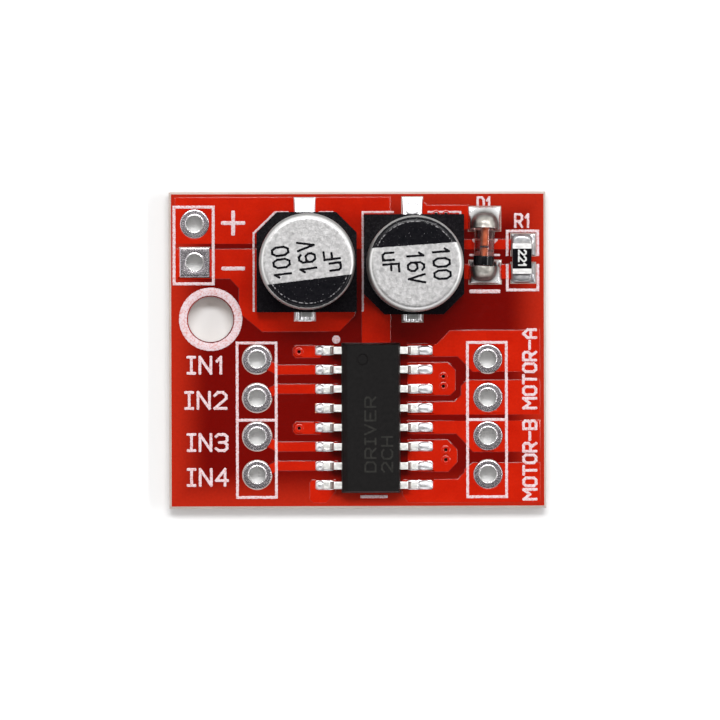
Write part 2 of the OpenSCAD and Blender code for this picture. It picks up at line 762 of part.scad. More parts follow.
module diode_glass() color([0.8, 0.35, 0.2, 0.5]) diode_frame() difference() {
    translate([0, 0, -diode_l / 2 + cap_l]) cylinder(h = diode_l - 2 * cap_l, r = glass_r);
    translate([0, 0, -diode_l]) cylinder(h = 2 * diode_l, r = bore_r);
}

// An end cap with the slug that runs in to the die
module diode_stud(side) color(tin) diode_frame() mirror([0, 0, side > 0 ? 0 : 1]) {
    translate([0, 0, diode_l / 2 - cap_l]) cylinder(h = cap_l, r = diode_r);
    translate([0, 0, chip_half]) cylinder(h = diode_l / 2 - cap_l - chip_half, r = bore_r);
}

module diode_die() color("#44474c") diode_frame()
    translate([0, 0, -chip_half]) cylinder(h = 2 * chip_half, r = bore_r);

// The painted cathode band near the lower end
module diode_band() color(black) diode_frame() translate([0, 0, -diode_l / 2 + cap_l + 0.05]) difference() {
    cylinder(h = 0.6, r = glass_r + 0.02);
    translate([0, 0, -slack]) cylinder(h = 0.6 + 2 * slack, r = glass_r);
}

// Solder banked up round both end caps
module solder_diode() color(tin) difference() {
    for (side = [-1, 1]) translate([diode_at[0] + side * 0.03, diode_at[1], board_t]) {
        y0 = side * (diode_l / 2 - cap_l + 0.06);
        y1 = side * (diode_l / 2 + 0.45);
        y2 = side * (diode_l / 2 + 0.02);
        along_x(1.66) polygon([[y0, 0], [y1, 0], [y1, 0.12], [y2 + side * 0.2, 0.6], [y2, 1], [y0, 1]]);
    }
    diode_frame() cylinder(h = diode_l, r = diode_r, center = true);
}

// ---------------------------------------------------------------- resistor

end_l = 0.34;
film_t = 0.02;
end_t = 0.04;
ceramic_t = 0.45;

module res_box(size, z) translate([resistor_at[0] - size[0] / 2, resistor_at[1] - size[1] / 2, z]) cube(size);

module resistor_ceramic() color("ivory")
    res_box([resistor_w, resistor_l - 2 * end_t, ceramic_t], board_t + end_t);

module resistor_film() color("#5b4a3d")
    res_box([resistor_w - 0.25, resistor_l - 2 * end_l + 0.1, film_t], board_t + end_t + ceramic_t);

module resistor_glaze() color(black) difference() {
    res_box([resistor_w, resistor_l - 2 * end_l, end_t + film_t], board_t + end_t + ceramic_t);
    resistor_film();
    resistor_end(1);
    resistor_end(-1);
}

// A wrapped end: under, over and round the ceramic's end
module resistor_end(side) color(tin) difference() {
    low_y = side > 0 ? resistor_l / 2 - end_l : -resistor_l / 2;
    translate([resistor_at[0] - resistor_w / 2, resistor_at[1] + low_y, board_t])
        cube([resistor_w, end_l, ceramic_t + 2 * end_t]);
    resistor_ceramic();
    resistor_film();
}

module resistor_print() color("#d8d8d4")
    layer(board_t + 2 * end_t + ceramic_t + film_t, board_t + 2 * end_t + ceramic_t + film_t + print_t)
        translate([resistor_at[0] - 0.27, resistor_at[1] + 0.6]) rotate(-90) label("221", [1.18, 0.58], 0.11);

// Solder between the resistor's end faces and their pads
module solder_resistor() color(tin) translate([resistor_at[0], resistor_at[1], board_t])
    for (side = [-1, 1]) along_x(resistor_w + 0.1) mirror([side > 0 ? 0 : 1, 0])
        translate([resistor_l / 2, 0]) polygon([[0, 0], [0.56, 0], [0.5, 0.12], [0.2, 0.3], [0, 0.48]]);

// ---------------------------------------------------------------- the pieces, each in its node

board_core();
copper_top();
copper_bottom();
solder_mask_top();
solder_mask_bottom();
legend_top();
vias();
smd_pads();
terminal(input_places[0]);  // barrel_in1
terminal(input_places[1]);  // barrel_in2
terminal(input_places[2]);  // barrel_in3
terminal(input_places[3]);  // barrel_in4
terminal(motor_places[0]);  // barrel_motor_a1
terminal(motor_places[1]);  // barrel_motor_a2
terminal(motor_places[2]);  // barrel_motor_b1
terminal(motor_places[3]);  // barrel_motor_b2
terminal(supply_places[0]);  // barrel_supply_plus
terminal(supply_places[1], square = true);  // barrel_supply_minus
place(cap_1_at, 0) cap_base();  // capacitor_1_base
place(cap_1_at, 0) cap_can();  // capacitor_1_can
place(cap_1_at, 0) cap_seal();  // capacitor_1_seal
place(cap_1_at, 0) cap_winding();  // capacitor_1_winding
place(cap_1_at, 0) cap_lead(1);  // capacitor_1_lead_plus
place(cap_1_at, 0) cap_lead(-1);  // capacitor_1_lead_minus
place(cap_1_at, 0) cap_print(7);  // capacitor_1_print
place(cap_2_at, 180) cap_base();  // capacitor_2_base
place(cap_2_at, 180) cap_can();  // capacitor_2_can
place(cap_2_at, 180) cap_seal();  // capacitor_2_seal
place(cap_2_at, 180) cap_winding();  // capacitor_2_winding
place(cap_2_at, 180) cap_lead(1);  // capacitor_2_lead_plus
place(cap_2_at, 180) cap_lead(-1);  // capacitor_2_lead_minus
place(cap_2_at, 180) cap_print(4);  // capacitor_2_print
driver_body();
chip_leads_on(-1);  // driver_leads_left
chip_leads_on(1);  // driver_leads_right
die_paddle();  // driver_die_paddle
die();  // driver_die
bond_wires();  // driver_bond_wires
driver_print();
diode_glass();
diode_stud(1);  // diode_stud_upper
diode_stud(-1);  // diode_stud_lower
diode_die();
diode_band();
resistor_ceramic();
resistor_film();
resistor_glaze();
resistor_end(1);  // resistor_end_upper
resistor_end(-1);  // resistor_end_lower
resistor_print();
solder_capacitor_1();
solder_capacitor_2();
driver_solder(-1, left_pad_end);  // solder_driver_left
driver_solder(1, right_pad_end);  // solder_driver_right
solder_diode();
solder_resistor();
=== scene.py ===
"""A small red two-channel motor driver board lying on a white table, seen from straight above."""

import math
import random

import bmesh
import bpy
import numpy as np
from mathutils import Matrix, Vector, noise
from mathutils.geometry import delaunay_2d_cdt


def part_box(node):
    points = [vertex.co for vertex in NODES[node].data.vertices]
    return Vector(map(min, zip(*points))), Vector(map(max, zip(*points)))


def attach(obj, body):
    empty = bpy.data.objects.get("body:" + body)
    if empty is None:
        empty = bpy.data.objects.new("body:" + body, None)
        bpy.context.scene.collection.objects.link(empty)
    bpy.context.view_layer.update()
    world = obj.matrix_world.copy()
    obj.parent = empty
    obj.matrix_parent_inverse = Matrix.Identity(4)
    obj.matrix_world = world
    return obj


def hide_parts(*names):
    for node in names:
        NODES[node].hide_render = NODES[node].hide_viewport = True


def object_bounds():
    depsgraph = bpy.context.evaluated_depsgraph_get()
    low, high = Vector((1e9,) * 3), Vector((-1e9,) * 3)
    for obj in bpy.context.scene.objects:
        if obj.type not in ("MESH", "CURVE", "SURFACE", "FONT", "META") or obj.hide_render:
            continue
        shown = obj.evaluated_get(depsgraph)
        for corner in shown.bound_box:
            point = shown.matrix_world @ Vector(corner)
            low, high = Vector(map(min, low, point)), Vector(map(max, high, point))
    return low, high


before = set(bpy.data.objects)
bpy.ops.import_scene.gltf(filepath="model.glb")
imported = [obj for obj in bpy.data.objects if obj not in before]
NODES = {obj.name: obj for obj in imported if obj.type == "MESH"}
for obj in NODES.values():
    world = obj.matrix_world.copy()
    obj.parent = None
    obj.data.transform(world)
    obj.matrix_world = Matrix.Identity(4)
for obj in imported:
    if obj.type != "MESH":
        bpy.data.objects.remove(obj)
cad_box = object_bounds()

MM = 0.001
WELD = 1e-7
scene = bpy.context.scene
rng = random.Random(11)

# Heights of the board's layers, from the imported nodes
PAD_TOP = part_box("smd_pads")[1].z
COPPER_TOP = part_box("smd_pads")[0].z
CORE_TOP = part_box("board_core")[1].z
BARE_TOP = CORE_TOP + 0.04 * MM
INK_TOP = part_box("legend_top")[1].z
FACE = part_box("solder_mask_top")

# Plated holes and the chip's leads
HOLE_R, DRILL_R, VIA_R = 0.55 * MM, 0.59 * MM, 0.11 * MM
UNDER_SKIN = 0.065 * MM
PINS, PIN_PITCH, PIN_WIDTH = 8, 1.27 * MM, 0.48 * MM
PIN_SOLDER = 0.31 * MM

# The capacitors' cans
CAN_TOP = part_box("capacitor_1_can")[1].z
CAN_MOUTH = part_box("capacitor_1_can")[0].z
CAN_R = (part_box("capacitor_1_can")[1].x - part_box("capacitor_1_can")[0].x) / 2
CAN_WALL = 0.25 * MM
ROLL = 0.4 * MM
INK_LIFT = 0.008 * MM
# Radius where the rim starts to roll; the can's ink carries a painted highlight along it
RIM_GLINT_R = CAN_R - 0.4 * MM


# ---------------------------------------------------------------- mesh helpers

def centre(node):
    low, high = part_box(node)
    return (low + high) / 2


def build(name, verts, faces, crease=40):
    """A mesh from points and faces, welded, facing outwards, smooth except over sharp edges."""
    mesh = bpy.data.meshes.new(name)
    mesh.from_pydata([tuple(v) for v in verts], [], [tuple(f) for f in faces])
    return clean(mesh, crease)


def clean(mesh, crease):
    bm = bmesh.new()
    bm.from_mesh(mesh)
    bmesh.ops.remove_doubles(bm, verts=bm.verts, dist=WELD)
    bmesh.ops.dissolve_degenerate(bm, edges=bm.edges, dist=WELD)
    bmesh.ops.recalc_face_normals(bm, faces=bm.faces)
    for face in bm.faces:
        face.smooth = True
    bm.to_mesh(mesh)
    bm.free()
    mesh.set_sharp_from_angle(angle=math.radians(crease))
    return mesh


def piece(mesh, material, slot, *nodes):
    """Puts a mesh in the scene as a piece on the board, standing for the given CAD nodes."""
    obj = bpy.data.objects.new(mesh.name, mesh)
    scene.collection.objects.link(obj)
    mesh.materials.clear()
    mesh.materials.append(material)
    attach(obj, "root")
    if nodes:
        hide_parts(*nodes)
    return obj


def leftmost(path, choices):
    """The way on from a path's end that turns furthest left, so that touching loops stay apart."""
    if len(path) < 2:
        return choices[0]
    (ax, ay), (bx, by) = path
    heading = math.atan2(by - ay, bx - ax)

    def turn(c):
        return (math.atan2(c[1] - by, c[0] - bx) - heading + math.pi) % (2 * math.pi)
    return max(choices, key=turn)


def outlines(node, z, up=True):
    """Closed outlines of a node's flat faces at height z, each with the material on its left."""
    mesh = NODES[node].data
    keys = [(round(v.co.x * 1e7), round(v.co.y * 1e7)) for v in mesh.vertices]
    level = {v.index for v in mesh.vertices if abs(v.co.z - z) < 1e-6}
    edges = set()
    for f in mesh.polygons:
        if not level.issuperset(f.vertices):
            continue
        ids = [keys[i] for i in f.vertices]
        if not up:
            ids.reverse()
        for a, b in zip(ids, ids[1:] + ids[:1]):
            if (b, a) in edges:
                edges.remove((b, a))
            elif a != b:
                edges.add((a, b))
    after = {}
    for a, b in sorted(edges):
        after.setdefault(a, []).append(b)
    loops = []
    while after:
        first = min(after)
        loop, here = [], first
        while here in after:
            loop.append(here)
            following = leftmost(loop[-2:], after[here])
            after[here].remove(following)
            if not after[here]:
                del after[here]
            here = following
            if here == first:
                break
        loops.append(straightened([Vector((x, y)) * 1e-7 for x, y in loop]))
    return [loop for loop in loops if len(loop) > 2]


def straightened(loop):
    """The loop without the points that lie on a straight run."""
    kept = []
    for i, p in enumerate(loop):
        a, b = p - loop[i - 1], loop[(i + 1) % len(loop)] - p
        if abs(a.x * b.y - a.y * b.x) > 1e-3 * a.length * b.length:
            kept.append(p)
    return kept


def area_of(loop):
    return sum(a.x * b.y - a.y * b.x for a, b in zip(loop, loop[1:] + loop[:1])) / 2


def inset(loop, d):
    """The loop moved by d towards its material."""
    moved = []
    for i, p in enumerate(loop):
        a, b = (p - loop[i - 1]).normalized(), (loop[(i + 1) % len(loop)] - p).normalized()
        n = Vector((-a.y, a.x)) + Vector((-b.y, b.x))
        moved.append(p + n * (d / max(0.35, 1 + a.dot(b))))
    return moved


def rounded(loop, r, steps=3):
    """The loop with its corners cut to small arcs."""
    out = []
    for i, p in enumerate(loop):
        a, b = loop[i - 1] - p, loop[(i + 1) % len(loop)] - p
        cut = min(r, a.length * 0.45, b.length * 0.45)
        if a.angle(b) > 2.6:
            out.append(p)
            continue
        s, e = p + a.normalized() * cut, p + b.normalized() * cut
        out += [s.lerp(p, t).lerp(p.lerp(e, t), t) for t in (k / steps for k in range(steps + 1))]
    return out


def ragged(loop, step, amount):
    """The loop cut into short steps with an uneven edge, as screen-printed ink has."""
    out = []
    for a, b in zip(loop, loop[1:] + loop[:1]):
        n = max(1, round((b - a).length / step))
        out += [a.lerp(b, k / n) for k in range(n)]
    return [p + Vector((rng.uniform(-amount, amount), rng.uniform(-amount, amount))) for p in out]


def cap(loops, z, up):
    """Triangles over the loops' inside at one height."""
    points, edges = [], []
    for loop in loops:
        start = len(points)
        points += loop
        edges += [(start + i, start + (i + 1) % len(loop)) for i in range(len(loop))]
    out, _, tris, *_ = delaunay_2d_cdt(points, edges, [], 1, 1e-9)
    a = np.array([points[i] for i, _ in edges])
    b = np.array([points[j] for _, j in edges])
    rise = np.where(a[:, 1] == b[:, 1], 1, b[:, 1] - a[:, 1])
    kept = []
    for t in tris:
        x, y = sum((out[i] for i in t), Vector((0, 0))) / len(t)
        crosses = (a[:, 1] > y) != (b[:, 1] > y)
        at = a[:, 0] + (y - a[:, 1]) * (b[:, 0] - a[:, 0]) / rise
        if np.count_nonzero(crosses & (at > x)) % 2:
            kept.append(t if up else t[::-1])
    return [(p.x, p.y, z) for p in out], kept


def plate(loops, levels):
    """Points and faces of a closed plate whose side runs through (inset, height) levels, lowest first."""
    verts, faces = [], []
    for loop in loops:
        start, n = len(verts), len(loop)
        for d, z in levels:
            verts += [(p.x, p.y, z) for p in (inset(loop, d) if d else loop)]
        for k in range(len(levels) - 1):
            low, high = start + k * n, start + (k + 1) * n
            faces += [(low + i, low + (i + 1) % n, high + (i + 1) % n, high + i) for i in range(n)]
    for (d, z), up in ((levels[0], False), (levels[-1], True)):
        points, tris = cap([inset(loop, d) if d else loop for loop in loops], z, up)
        faces += [tuple(len(verts) + i for i in t) for t in tris]
        verts += points
    return verts, faces


def lathe(section, at, segments=72):
    """Points and faces of a closed section of (radius, height) turned about a vertical axis."""
    n = len(section)
    turns = [2 * math.pi * k / segments for k in range(segments)]
    verts = [(at[0] + r * math.cos(t), at[1] + r * math.sin(t), z) for t in turns for r, z in section]
    faces = [
        (k * n + i, (k + 1) % segments * n + i, (k + 1) % segments * n + (i + 1) % n, k * n + (i + 1) % n)
        for k in range(segments) for i in range(n)]
    return verts, faces


def joined(*parts):
    """Several (points, faces) pairs as one."""
    verts, faces = [], []
    for v, f in parts:
        faces += [tuple(len(verts) + i for i in face) for face in f]
        verts += v
    return verts, faces


def arc(at, r, a0, a1, n):
    """Points along an arc in a section, angles in degrees."""
    turns = [math.radians(a0 + (a1 - a0) * k / n) for k in range(n + 1)]
    return [(at[0] + r * math.cos(t), at[1] + r * math.sin(t)) for t in turns]


def lump(at, half, height, z0, square=2.6, crown=2.2, wobble=0.06, tilt=(0, 0), rings=12, spokes=44):
    """Points and faces of a crowned lump of solder, a little uneven, closed below."""
    verts, faces = [(at[0], at[1], z0)], []
    for k in range(rings + 1):
        t = math.cos(k / rings * math.pi / 2)
        for j in range(spokes):
            a = 2 * math.pi * j / spokes
            c, s = math.cos(a), math.sin(a)
            r = (abs(c / half[0]) ** square + abs(s / half[1]) ** square) ** (-1 / square)
            edge = 1 + 0.05 * noise.noise(Vector((at[0] * 900 + c * 1.5, at[1] * 900 + s * 1.5, 4)))
            x, y = at[0] + c * r * t * edge, at[1] + s * r * t * edge
            h = height * (1 - t ** crown) ** (1 / crown)
            h *= 1 + tilt[0] * (x - at[0]) / half[0] + tilt[1] * (y - at[1]) / half[1]
            h *= 1 + wobble * 3 * noise.noise(Vector((x / MM * 4, y / MM * 4, 1)))
            verts.append((x, y, z0 + h))
    for k in range(rings):
        for j in range(spokes):
            a, b = 1 + k * spokes + j, 1 + k * spokes + (j + 1) % spokes
            faces.append((a, b, b + spokes, a + spokes))
    faces += [(0, 1 + (j + 1) % spokes, 1 + j) for j in range(spokes)]
    return verts, faces


def flattened(mesh):
    """The mesh with its large or level faces shaded flat, so that rounded edges don't bend their light."""
    for face in mesh.polygons:
        face.use_smooth = face.area < 0.25 * MM * MM and abs(face.normal.z) < 0.99999
    return mesh


def heap(low, high, thickness, z0, step=0.035):
    """Points and faces of solder over a rectangular pad; thickness(x, y) is in mm at a place in mm."""
    nx, ny = (max(8, round((b - a) / (step * MM))) for a, b in zip(low, high))
    verts, faces = [], []
    for j in range(ny + 1):
        for i in range(nx + 1):
            u, v = 2 * i / nx - 1, 2 * j / ny - 1
            x = (low[0] + (high[0] - low[0]) * i / nx) / MM
            y = (low[1] + (high[1] - low[1]) * j / ny) / MM
            rim = min(1 - abs(u), 1 - abs(v)) * min(nx, ny) * step / 2
            fade = min(1.0, rim / 0.09) ** 0.5
            wave = 1 + 0.025 * noise.noise(Vector((x * 3, y * 3, 1)))
            verts.append((x * MM, y * MM, z0 + thickness(x, y) * wave * fade * MM))
    row = nx + 1
    for j in range(ny):
        for i in range(nx):
            a = j * row + i
            faces.append((a, a + 1, a + row + 1, a + row))
    rim = [i for i in range(nx)] + [j * row + nx for j in range(ny)]
    rim += [ny * row + i for i in range(nx, 0, -1)] + [j * row for j in range(ny, 0, -1)]
    faces.append(tuple(reversed(rim)))
    return verts, faces


def dome(x, y, size, power=2.4):
    """Height in mm of a rounded dome of half sizes (x, y, z) at a place from its middle."""
    e = abs(x / size[0]) ** power + abs(y / size[1]) ** power
    return size[2] * max(0.0, 1 - e) ** (1 / power)


def pad_under(x, y):
    """The lower and upper corner of the surface pad under a place."""
    for loop in outlines("smd_pads", PAD_TOP):
        low = (min(p.x for p in loop), min(p.y for p in loop))
        high = (max(p.x for p in loop), max(p.y for p in loop))
        if low[0] <= x <= high[0] and low[1] <= y <= high[1]:
            return low, high
    raise ValueError("no pad there")


def softened(node, width, segments=3):
    """A CAD node's shape as a new mesh with its edges rounded."""
    bm = bmesh.new()
    bm.from_mesh(NODES[node].data)
    bmesh.ops.remove_doubles(bm, verts=bm.verts, dist=WELD)
    bmesh.ops.dissolve_limit(bm, angle_limit=math.radians(0.5), verts=bm.verts, edges=bm.edges)
    sharp = [e for e in bm.edges if len(e.link_faces) == 2 and e.calc_face_angle() > math.radians(24)]
    bmesh.ops.bevel(
        bm, geom=sharp, offset=width, offset_type="OFFSET", segments=segments, profile=0.5,
        affect="EDGES", clamp_overlap=True)
    bmesh.ops.triangulate(bm, faces=[f for f in bm.faces if len(f.verts) > 4])
    mesh = bpy.data.meshes.new(node)
    bm.to_mesh(mesh)
    bm.free()
    return flattened(clean(mesh, 35))


# ---------------------------------------------------------------- material helpers

def add(tree, kind, inputs=None, **settings):
    """A node with its inputs set to values or linked to outputs."""
    node = tree.nodes.new(kind)
    for key, value in settings.items():
        setattr(node, key, value)
    for key, value in (inputs or {}).items():
        if isinstance(value, bpy.types.NodeSocket):
            tree.links.new(value, node.inputs[key])
        else:
            node.inputs[key].default_value = value
    return node


def start(name, **inputs):
    """A material, its node tree and its shader."""
    material = bpy.data.materials.new(name)
    material.use_nodes = True
    tree = material.node_tree
    shader = tree.nodes["Principled BSDF"]
    for key, value in inputs.items():
        shader.inputs[key.replace("_", " ")].default_value = value
    return material, tree, shader


def here(tree, stretch=(1, 1, 1)):
    coords = add(tree, "ShaderNodeTexCoord").outputs["Object"]
    if stretch == (1, 1, 1):
        return coords
    return add(tree, "ShaderNodeMapping", {"Vector": coords, "Scale": stretch}).outputs[0]


def grain(tree, size, detail=3, stretch=(1, 1, 1), warp=0.0):
    """Noise from 0 to 1 whose features are about size millimetres."""
    return add(tree, "ShaderNodeTexNoise", {
        "Vector": here(tree, stretch), "Scale": 1 / (size * MM), "Detail": detail, "Roughness": 0.55,
        "Distortion": warp}).outputs["Fac"]


def spread(tree, value, low, high, from_low=0.3, from_high=0.7, smooth=False):
    """A value carried from one range to another."""
    return add(tree, "ShaderNodeMapRange", {
        0: value, 1: from_low, 2: from_high, 3: low, 4: high},
        interpolation_type="SMOOTHSTEP" if smooth else "LINEAR").outputs[0]


def maths(tree, how, a, b=0.0):
    return add(tree, "ShaderNodeMath", {0: a, 1: b}, operation=how).outputs[0]


def height_of(tree):
    """Height above the board's underside, in metres."""
    return add(tree, "ShaderNodeSeparateXYZ", {0: here(tree)}).outputs["Z"]


def blend(tree, fac, a, b, how="MIX"):
    """Two colours mixed; each is a tuple or a socket."""
    node = add(tree, "ShaderNodeMix", {"Factor": fac}, data_type="RGBA", blend_type=how)
    for socket, value in ((node.inputs[6], a), (node.inputs[7], b)):
        if isinstance(value, bpy.types.NodeSocket):
            tree.links.new(value, socket)
        else:
            socket.default_value = (*value, 1)
    return node.outputs[2]


def grey(tree, value):
    return add(tree, "ShaderNodeCombineColor", {0: value, 1: value, 2: value}).outputs[0]


def clouds(tree, size, detail, dark, light, **how):
    """A colour that drifts between two in clouds of about size millimetres."""
    return blend(tree, spread(tree, grain(tree, size, detail, **how), 0, 1), dark, light)


def relief(tree, shader, *layers):
    """Bumps laid over each other, each a (height value, depth in mm) pair."""
    normal = None
    for height, depth in layers:
        inputs = {"Height": height, "Distance": depth * MM, "Strength": 1.0}
        if normal:
            inputs["Normal"] = normal
        normal = add(tree, "ShaderNodeBump", inputs).outputs[0]
    tree.links.new(normal, shader.inputs["Normal"])


def wire(tree, shader, **sockets):
    for key, value in sockets.items():
        tree.links.new(value, shader.inputs[key.replace("_", " ")])


# ---------------------------------------------------------------- materials

def mask_material(name, low, high):
    """Red solder mask: bright over copper, deep red over bare laminate, with painted light making the bare
    mask lighter near the board's edges.
    """
    material, tree, shader = start(name, IOR=1.5)
    xyz = add(tree, "ShaderNodeSeparateXYZ", {0: here(tree)})
    over = spread(tree, xyz.outputs["Z"], 0, 1, low, high, smooth=True)
    from_x = maths(tree, "SUBTRACT", FACE[1].x, maths(tree, "ABSOLUTE", xyz.outputs["X"]))
    from_y = maths(tree, "SUBTRACT", FACE[1].y, maths(tree, "ABSOLUTE", xyz.outputs["Y"]))
    edge = maths(tree, "MINIMUM", from_x, from_y)
    # painted light: the bare mask is painted lighter towards the board's edges and darker towards the middle,
    # standing in for light falling on the edges and shade near the parts
    painted_edge_light = spread(tree, edge, 1, 0, 0, 2.6 * MM, smooth=True)
    bare = blend(tree, painted_edge_light, (0.155, 0.0012, 0.0001), (0.43, 0.017, 0.005))
    covered = clouds(tree, 1.6, 3, (0.48, 0.009, 0.0008), (0.56, 0.014, 0.0018))
    colour = blend(tree, over, bare, covered)
    speck = spread(tree, grain(tree, 0.16, 2), 0.93, 1.05)
    wire(tree, shader, Base_Color=blend(tree, 1.0, colour, grey(tree, speck), "MULTIPLY"),
         Roughness=spread(tree, grain(tree, 0.5, 4), 0.05, 0.14))
    slope = maths(tree, "MULTIPLY", over, maths(tree, "SUBTRACT", 1.0, over))
    dashes = maths(tree, "MULTIPLY", slope, grain(tree, 0.17, 2, stretch=(1.6, 1, 0)))
    relief(tree, shader, (grain(tree, 0.8, 2), 0.003), (dashes, 0.035), (grain(tree, 0.12, 3), 0.0004))
    return material


def ink_material():
    """White screen-printed ink, a little thin in places so that the red shows through."""
    material, tree, shader = start("white_ink", IOR=1.45)
    thin = spread(tree, grain(tree, 0.11, 3), 0, 1, 0.46, 0.72)
    wire(tree, shader, Base_Color=blend(tree, thin, (0.72, 0.59, 0.62), (0.62, 0.22, 0.19)),
         Roughness=spread(tree, grain(tree, 0.2, 2), 0.35, 0.6))
    relief(tree, shader, (grain(tree, 0.09, 3), 0.003))
    return material


def laminate_material():
    """Glass-fibre laminate: cream with glass plies along the cut edges and a torn, fibrous surface."""
    material, tree, shader = start("laminate", IOR=1.5)
    plies = grain(tree, 0.22, 2, stretch=(0.12, 0.12, 1.6))
    fibres = grain(tree, 0.1, 4, stretch=(1, 1, 0.5))
    cream = blend(tree, spread(tree, plies, 0, 1), (0.46, 0.35, 0.29), (0.62, 0.51, 0.45))
    wire(tree, shader, Base_Color=blend(tree, spread(tree, fibres, 0, 0.45), cream, (0.72, 0.65, 0.62)),
         Roughness=spread(tree, fibres, 0.55, 0.85))
    relief(tree, shader, (fibres, 0.03), (plies, 0.02))
    return material


def metal_material(name, dark, light, rough, size=0.3, bumps=((0.25, 0.004),), painted_shade_band=None):
    """A metal with clouded colour and roughness, (size, depth) bumps, and painted shade over a band of
    heights.
    """
    material, tree, shader = start(name, Metallic=1.0)
    colour = clouds(tree, size, 4, dark, light, warp=0.4)
    # painted shade: the colour is darkened nearly to black over a band of heights, standing in for the shade
    # on a bent lead's riser
    if painted_shade_band:
        height = height_of(tree)
        above = spread(tree, height, 0, 0.85, painted_shade_band[0], painted_shade_band[0] + 0.04 * MM, smooth=True)
        below = spread(tree, height, 1, 0, painted_shade_band[1] - 0.04 * MM, painted_shade_band[1], smooth=True)
        colour = blend(tree, maths(tree, "MULTIPLY", above, below), colour, (0.16, 0.11, 0.10))
    wire(tree, shader, Base_Color=colour,
         Roughness=spread(tree, grain(tree, size * 0.6, 4), rough[0], rough[1]))
    relief(tree, shader, *[(grain(tree, s, 3, warp=0.3), d) for s, d in bumps])
    return material


def hole_material():
    """Tinned copper of a plated hole: a dulled ring on the board's face, brighter inside the hole."""
    material, tree, shader = start("hole_tin", Metallic=1.0)
    height = height_of(tree)
    inside = spread(tree, height, 1, 0, PAD_TOP - 0.06 * MM, PAD_TOP - 0.02 * MM, smooth=True)
    lip = spread(tree, height, 0, 1, PAD_TOP + 0.006 * MM, PAD_TOP + 0.014 * MM)
    fine = grain(tree, 0.07, 3)
    ring = clouds(tree, 0.3, 4, (0.42, 0.38, 0.42), (0.66, 0.60, 0.63))
    ring = blend(tree, spread(tree, fine, 0, 0.6, 0.5, 0.66), ring, (0.90, 0.88, 0.88))
    bright = maths(tree, "MAXIMUM", inside, lip)
    smoother = maths(tree, "MULTIPLY", inside, 0.15)
    wire(tree, shader, Base_Color=blend(tree, bright, ring, (0.97, 0.96, 0.95)),
         Roughness=maths(tree, "SUBTRACT", spread(tree, fine, 0.2, 0.3), smoother))
    relief(tree, shader, (grain(tree, 0.3, 2), 0.003), (fine, 0.0014))
    return material


def dome_material():
    """Solder round the diode: bright and smooth over the pad, rougher up the domes, with painted shade
    darkening the domes' sides and, less, their crests.
    """
    material, tree, shader = start("dome_solder", Metallic=1.0)
    height = height_of(tree)
    # painted shade: the colour darkens up the domes' sides and a little less on their crests, standing in for
    # the dark surroundings they mirror
    climb = spread(tree, height, 0, 1, PAD_TOP + 0.14 * MM, PAD_TOP + 0.36 * MM, smooth=True)
    crest = spread(tree, height, 0, 1, PAD_TOP + 1.25 * MM, PAD_TOP + 1.5 * MM, smooth=True)
    cloud = spread(tree, grain(tree, 0.35, 3), 0, 1)
    pad = blend(tree, cloud, (0.84, 0.83, 0.84), (0.97, 0.96, 0.95))
    side = blend(tree, cloud, (0.15, 0.15, 0.145), (0.27, 0.265, 0.25))
    top = blend(tree, cloud, (0.38, 0.36, 0.33), (0.62, 0.59, 0.54))
    colour = blend(tree, crest, blend(tree, climb, pad, side), top)
    rough = spread(tree, grain(tree, 0.3, 3), 0.24, 0.32)
    wire(tree, shader, Base_Color=colour,
         Roughness=maths(tree, "ADD", rough, maths(tree, "MULTIPLY", climb, 0.2)))
    relief(tree, shader, (grain(tree, 0.4, 2), 0.002), (grain(tree, 0.09, 3), 0.0008))
    return material


def dull_material(name, dark, light, rough, size, depth, specks=None, stretch=(1, 1, 1), shine=0.5):
    """A plastic, rubber, ceramic or paper: clouded colour with optional pale specks, and a fine bump."""
    material, tree, shader = start(name, IOR=1.5, Specular_IOR_Level=shine)
    colour = clouds(tree, size * 5, 4, dark, light, stretch=stretch)
    if specks:
        colour = blend(tree, spread(tree, grain(tree, size * 0.8, 1), 0, 1, 0.68, 0.76), colour, specks)
    wire(tree, shader, Base_Color=colour,
         Roughness=spread(tree, grain(tree, size * 3, 3), rough[0], rough[1]))
    relief(tree, shader, (grain(tree, size, 3, stretch=stretch), depth))
    return material


def can_ink_material(n):
    """Black ink on a can: glossy, with a painted highlight as a broken pale line along the inner edge of the
    rolled rim.
    """
    material, tree, shader = start(f"can_ink_{n}", IOR=1.5, Specular_IOR_Level=0.2)
    axis = centre(f"capacitor_{n}_can")
    flat = add(tree, "ShaderNodeVectorMath", {0: here(tree), 1: (1, 1, 0)}, operation="MULTIPLY")
    out = add(
        tree, "ShaderNodeVectorMath", {0: flat.outputs[0], 1: (axis.x, axis.y, 0)}, operation="DISTANCE")
    # painted highlight: a broken pale line where the rim starts to roll, for the light the ink's edge catches
    # there
    away = maths(tree, "ABSOLUTE", maths(tree, "SUBTRACT", out.outputs["Value"], RIM_GLINT_R))
    line = spread(tree, away, 1, 0, 0.01 * MM, 0.045 * MM)
    patchy = maths(tree, "MULTIPLY", line, spread(tree, grain(tree, 0.16, 3), 0, 1, 0.46, 0.6))
    fleck = spread(tree, grain(tree, 0.09, 1), 0, 0.8, 0.72, 0.78)
    base = clouds(tree, 0.5, 3, (0.0038, 0.0038, 0.0055), (0.0065, 0.006, 0.008))
    wire(tree, shader, Base_Color=blend(tree, maths(tree, "MAXIMUM", patchy, fleck), base, (0.34, 0.33, 0.34)),
         Roughness=spread(tree, grain(tree, 0.2, 3), 0.14, 0.26))
    relief(tree, shader, (grain(tree, 0.3, 2), 0.0012))
    return material


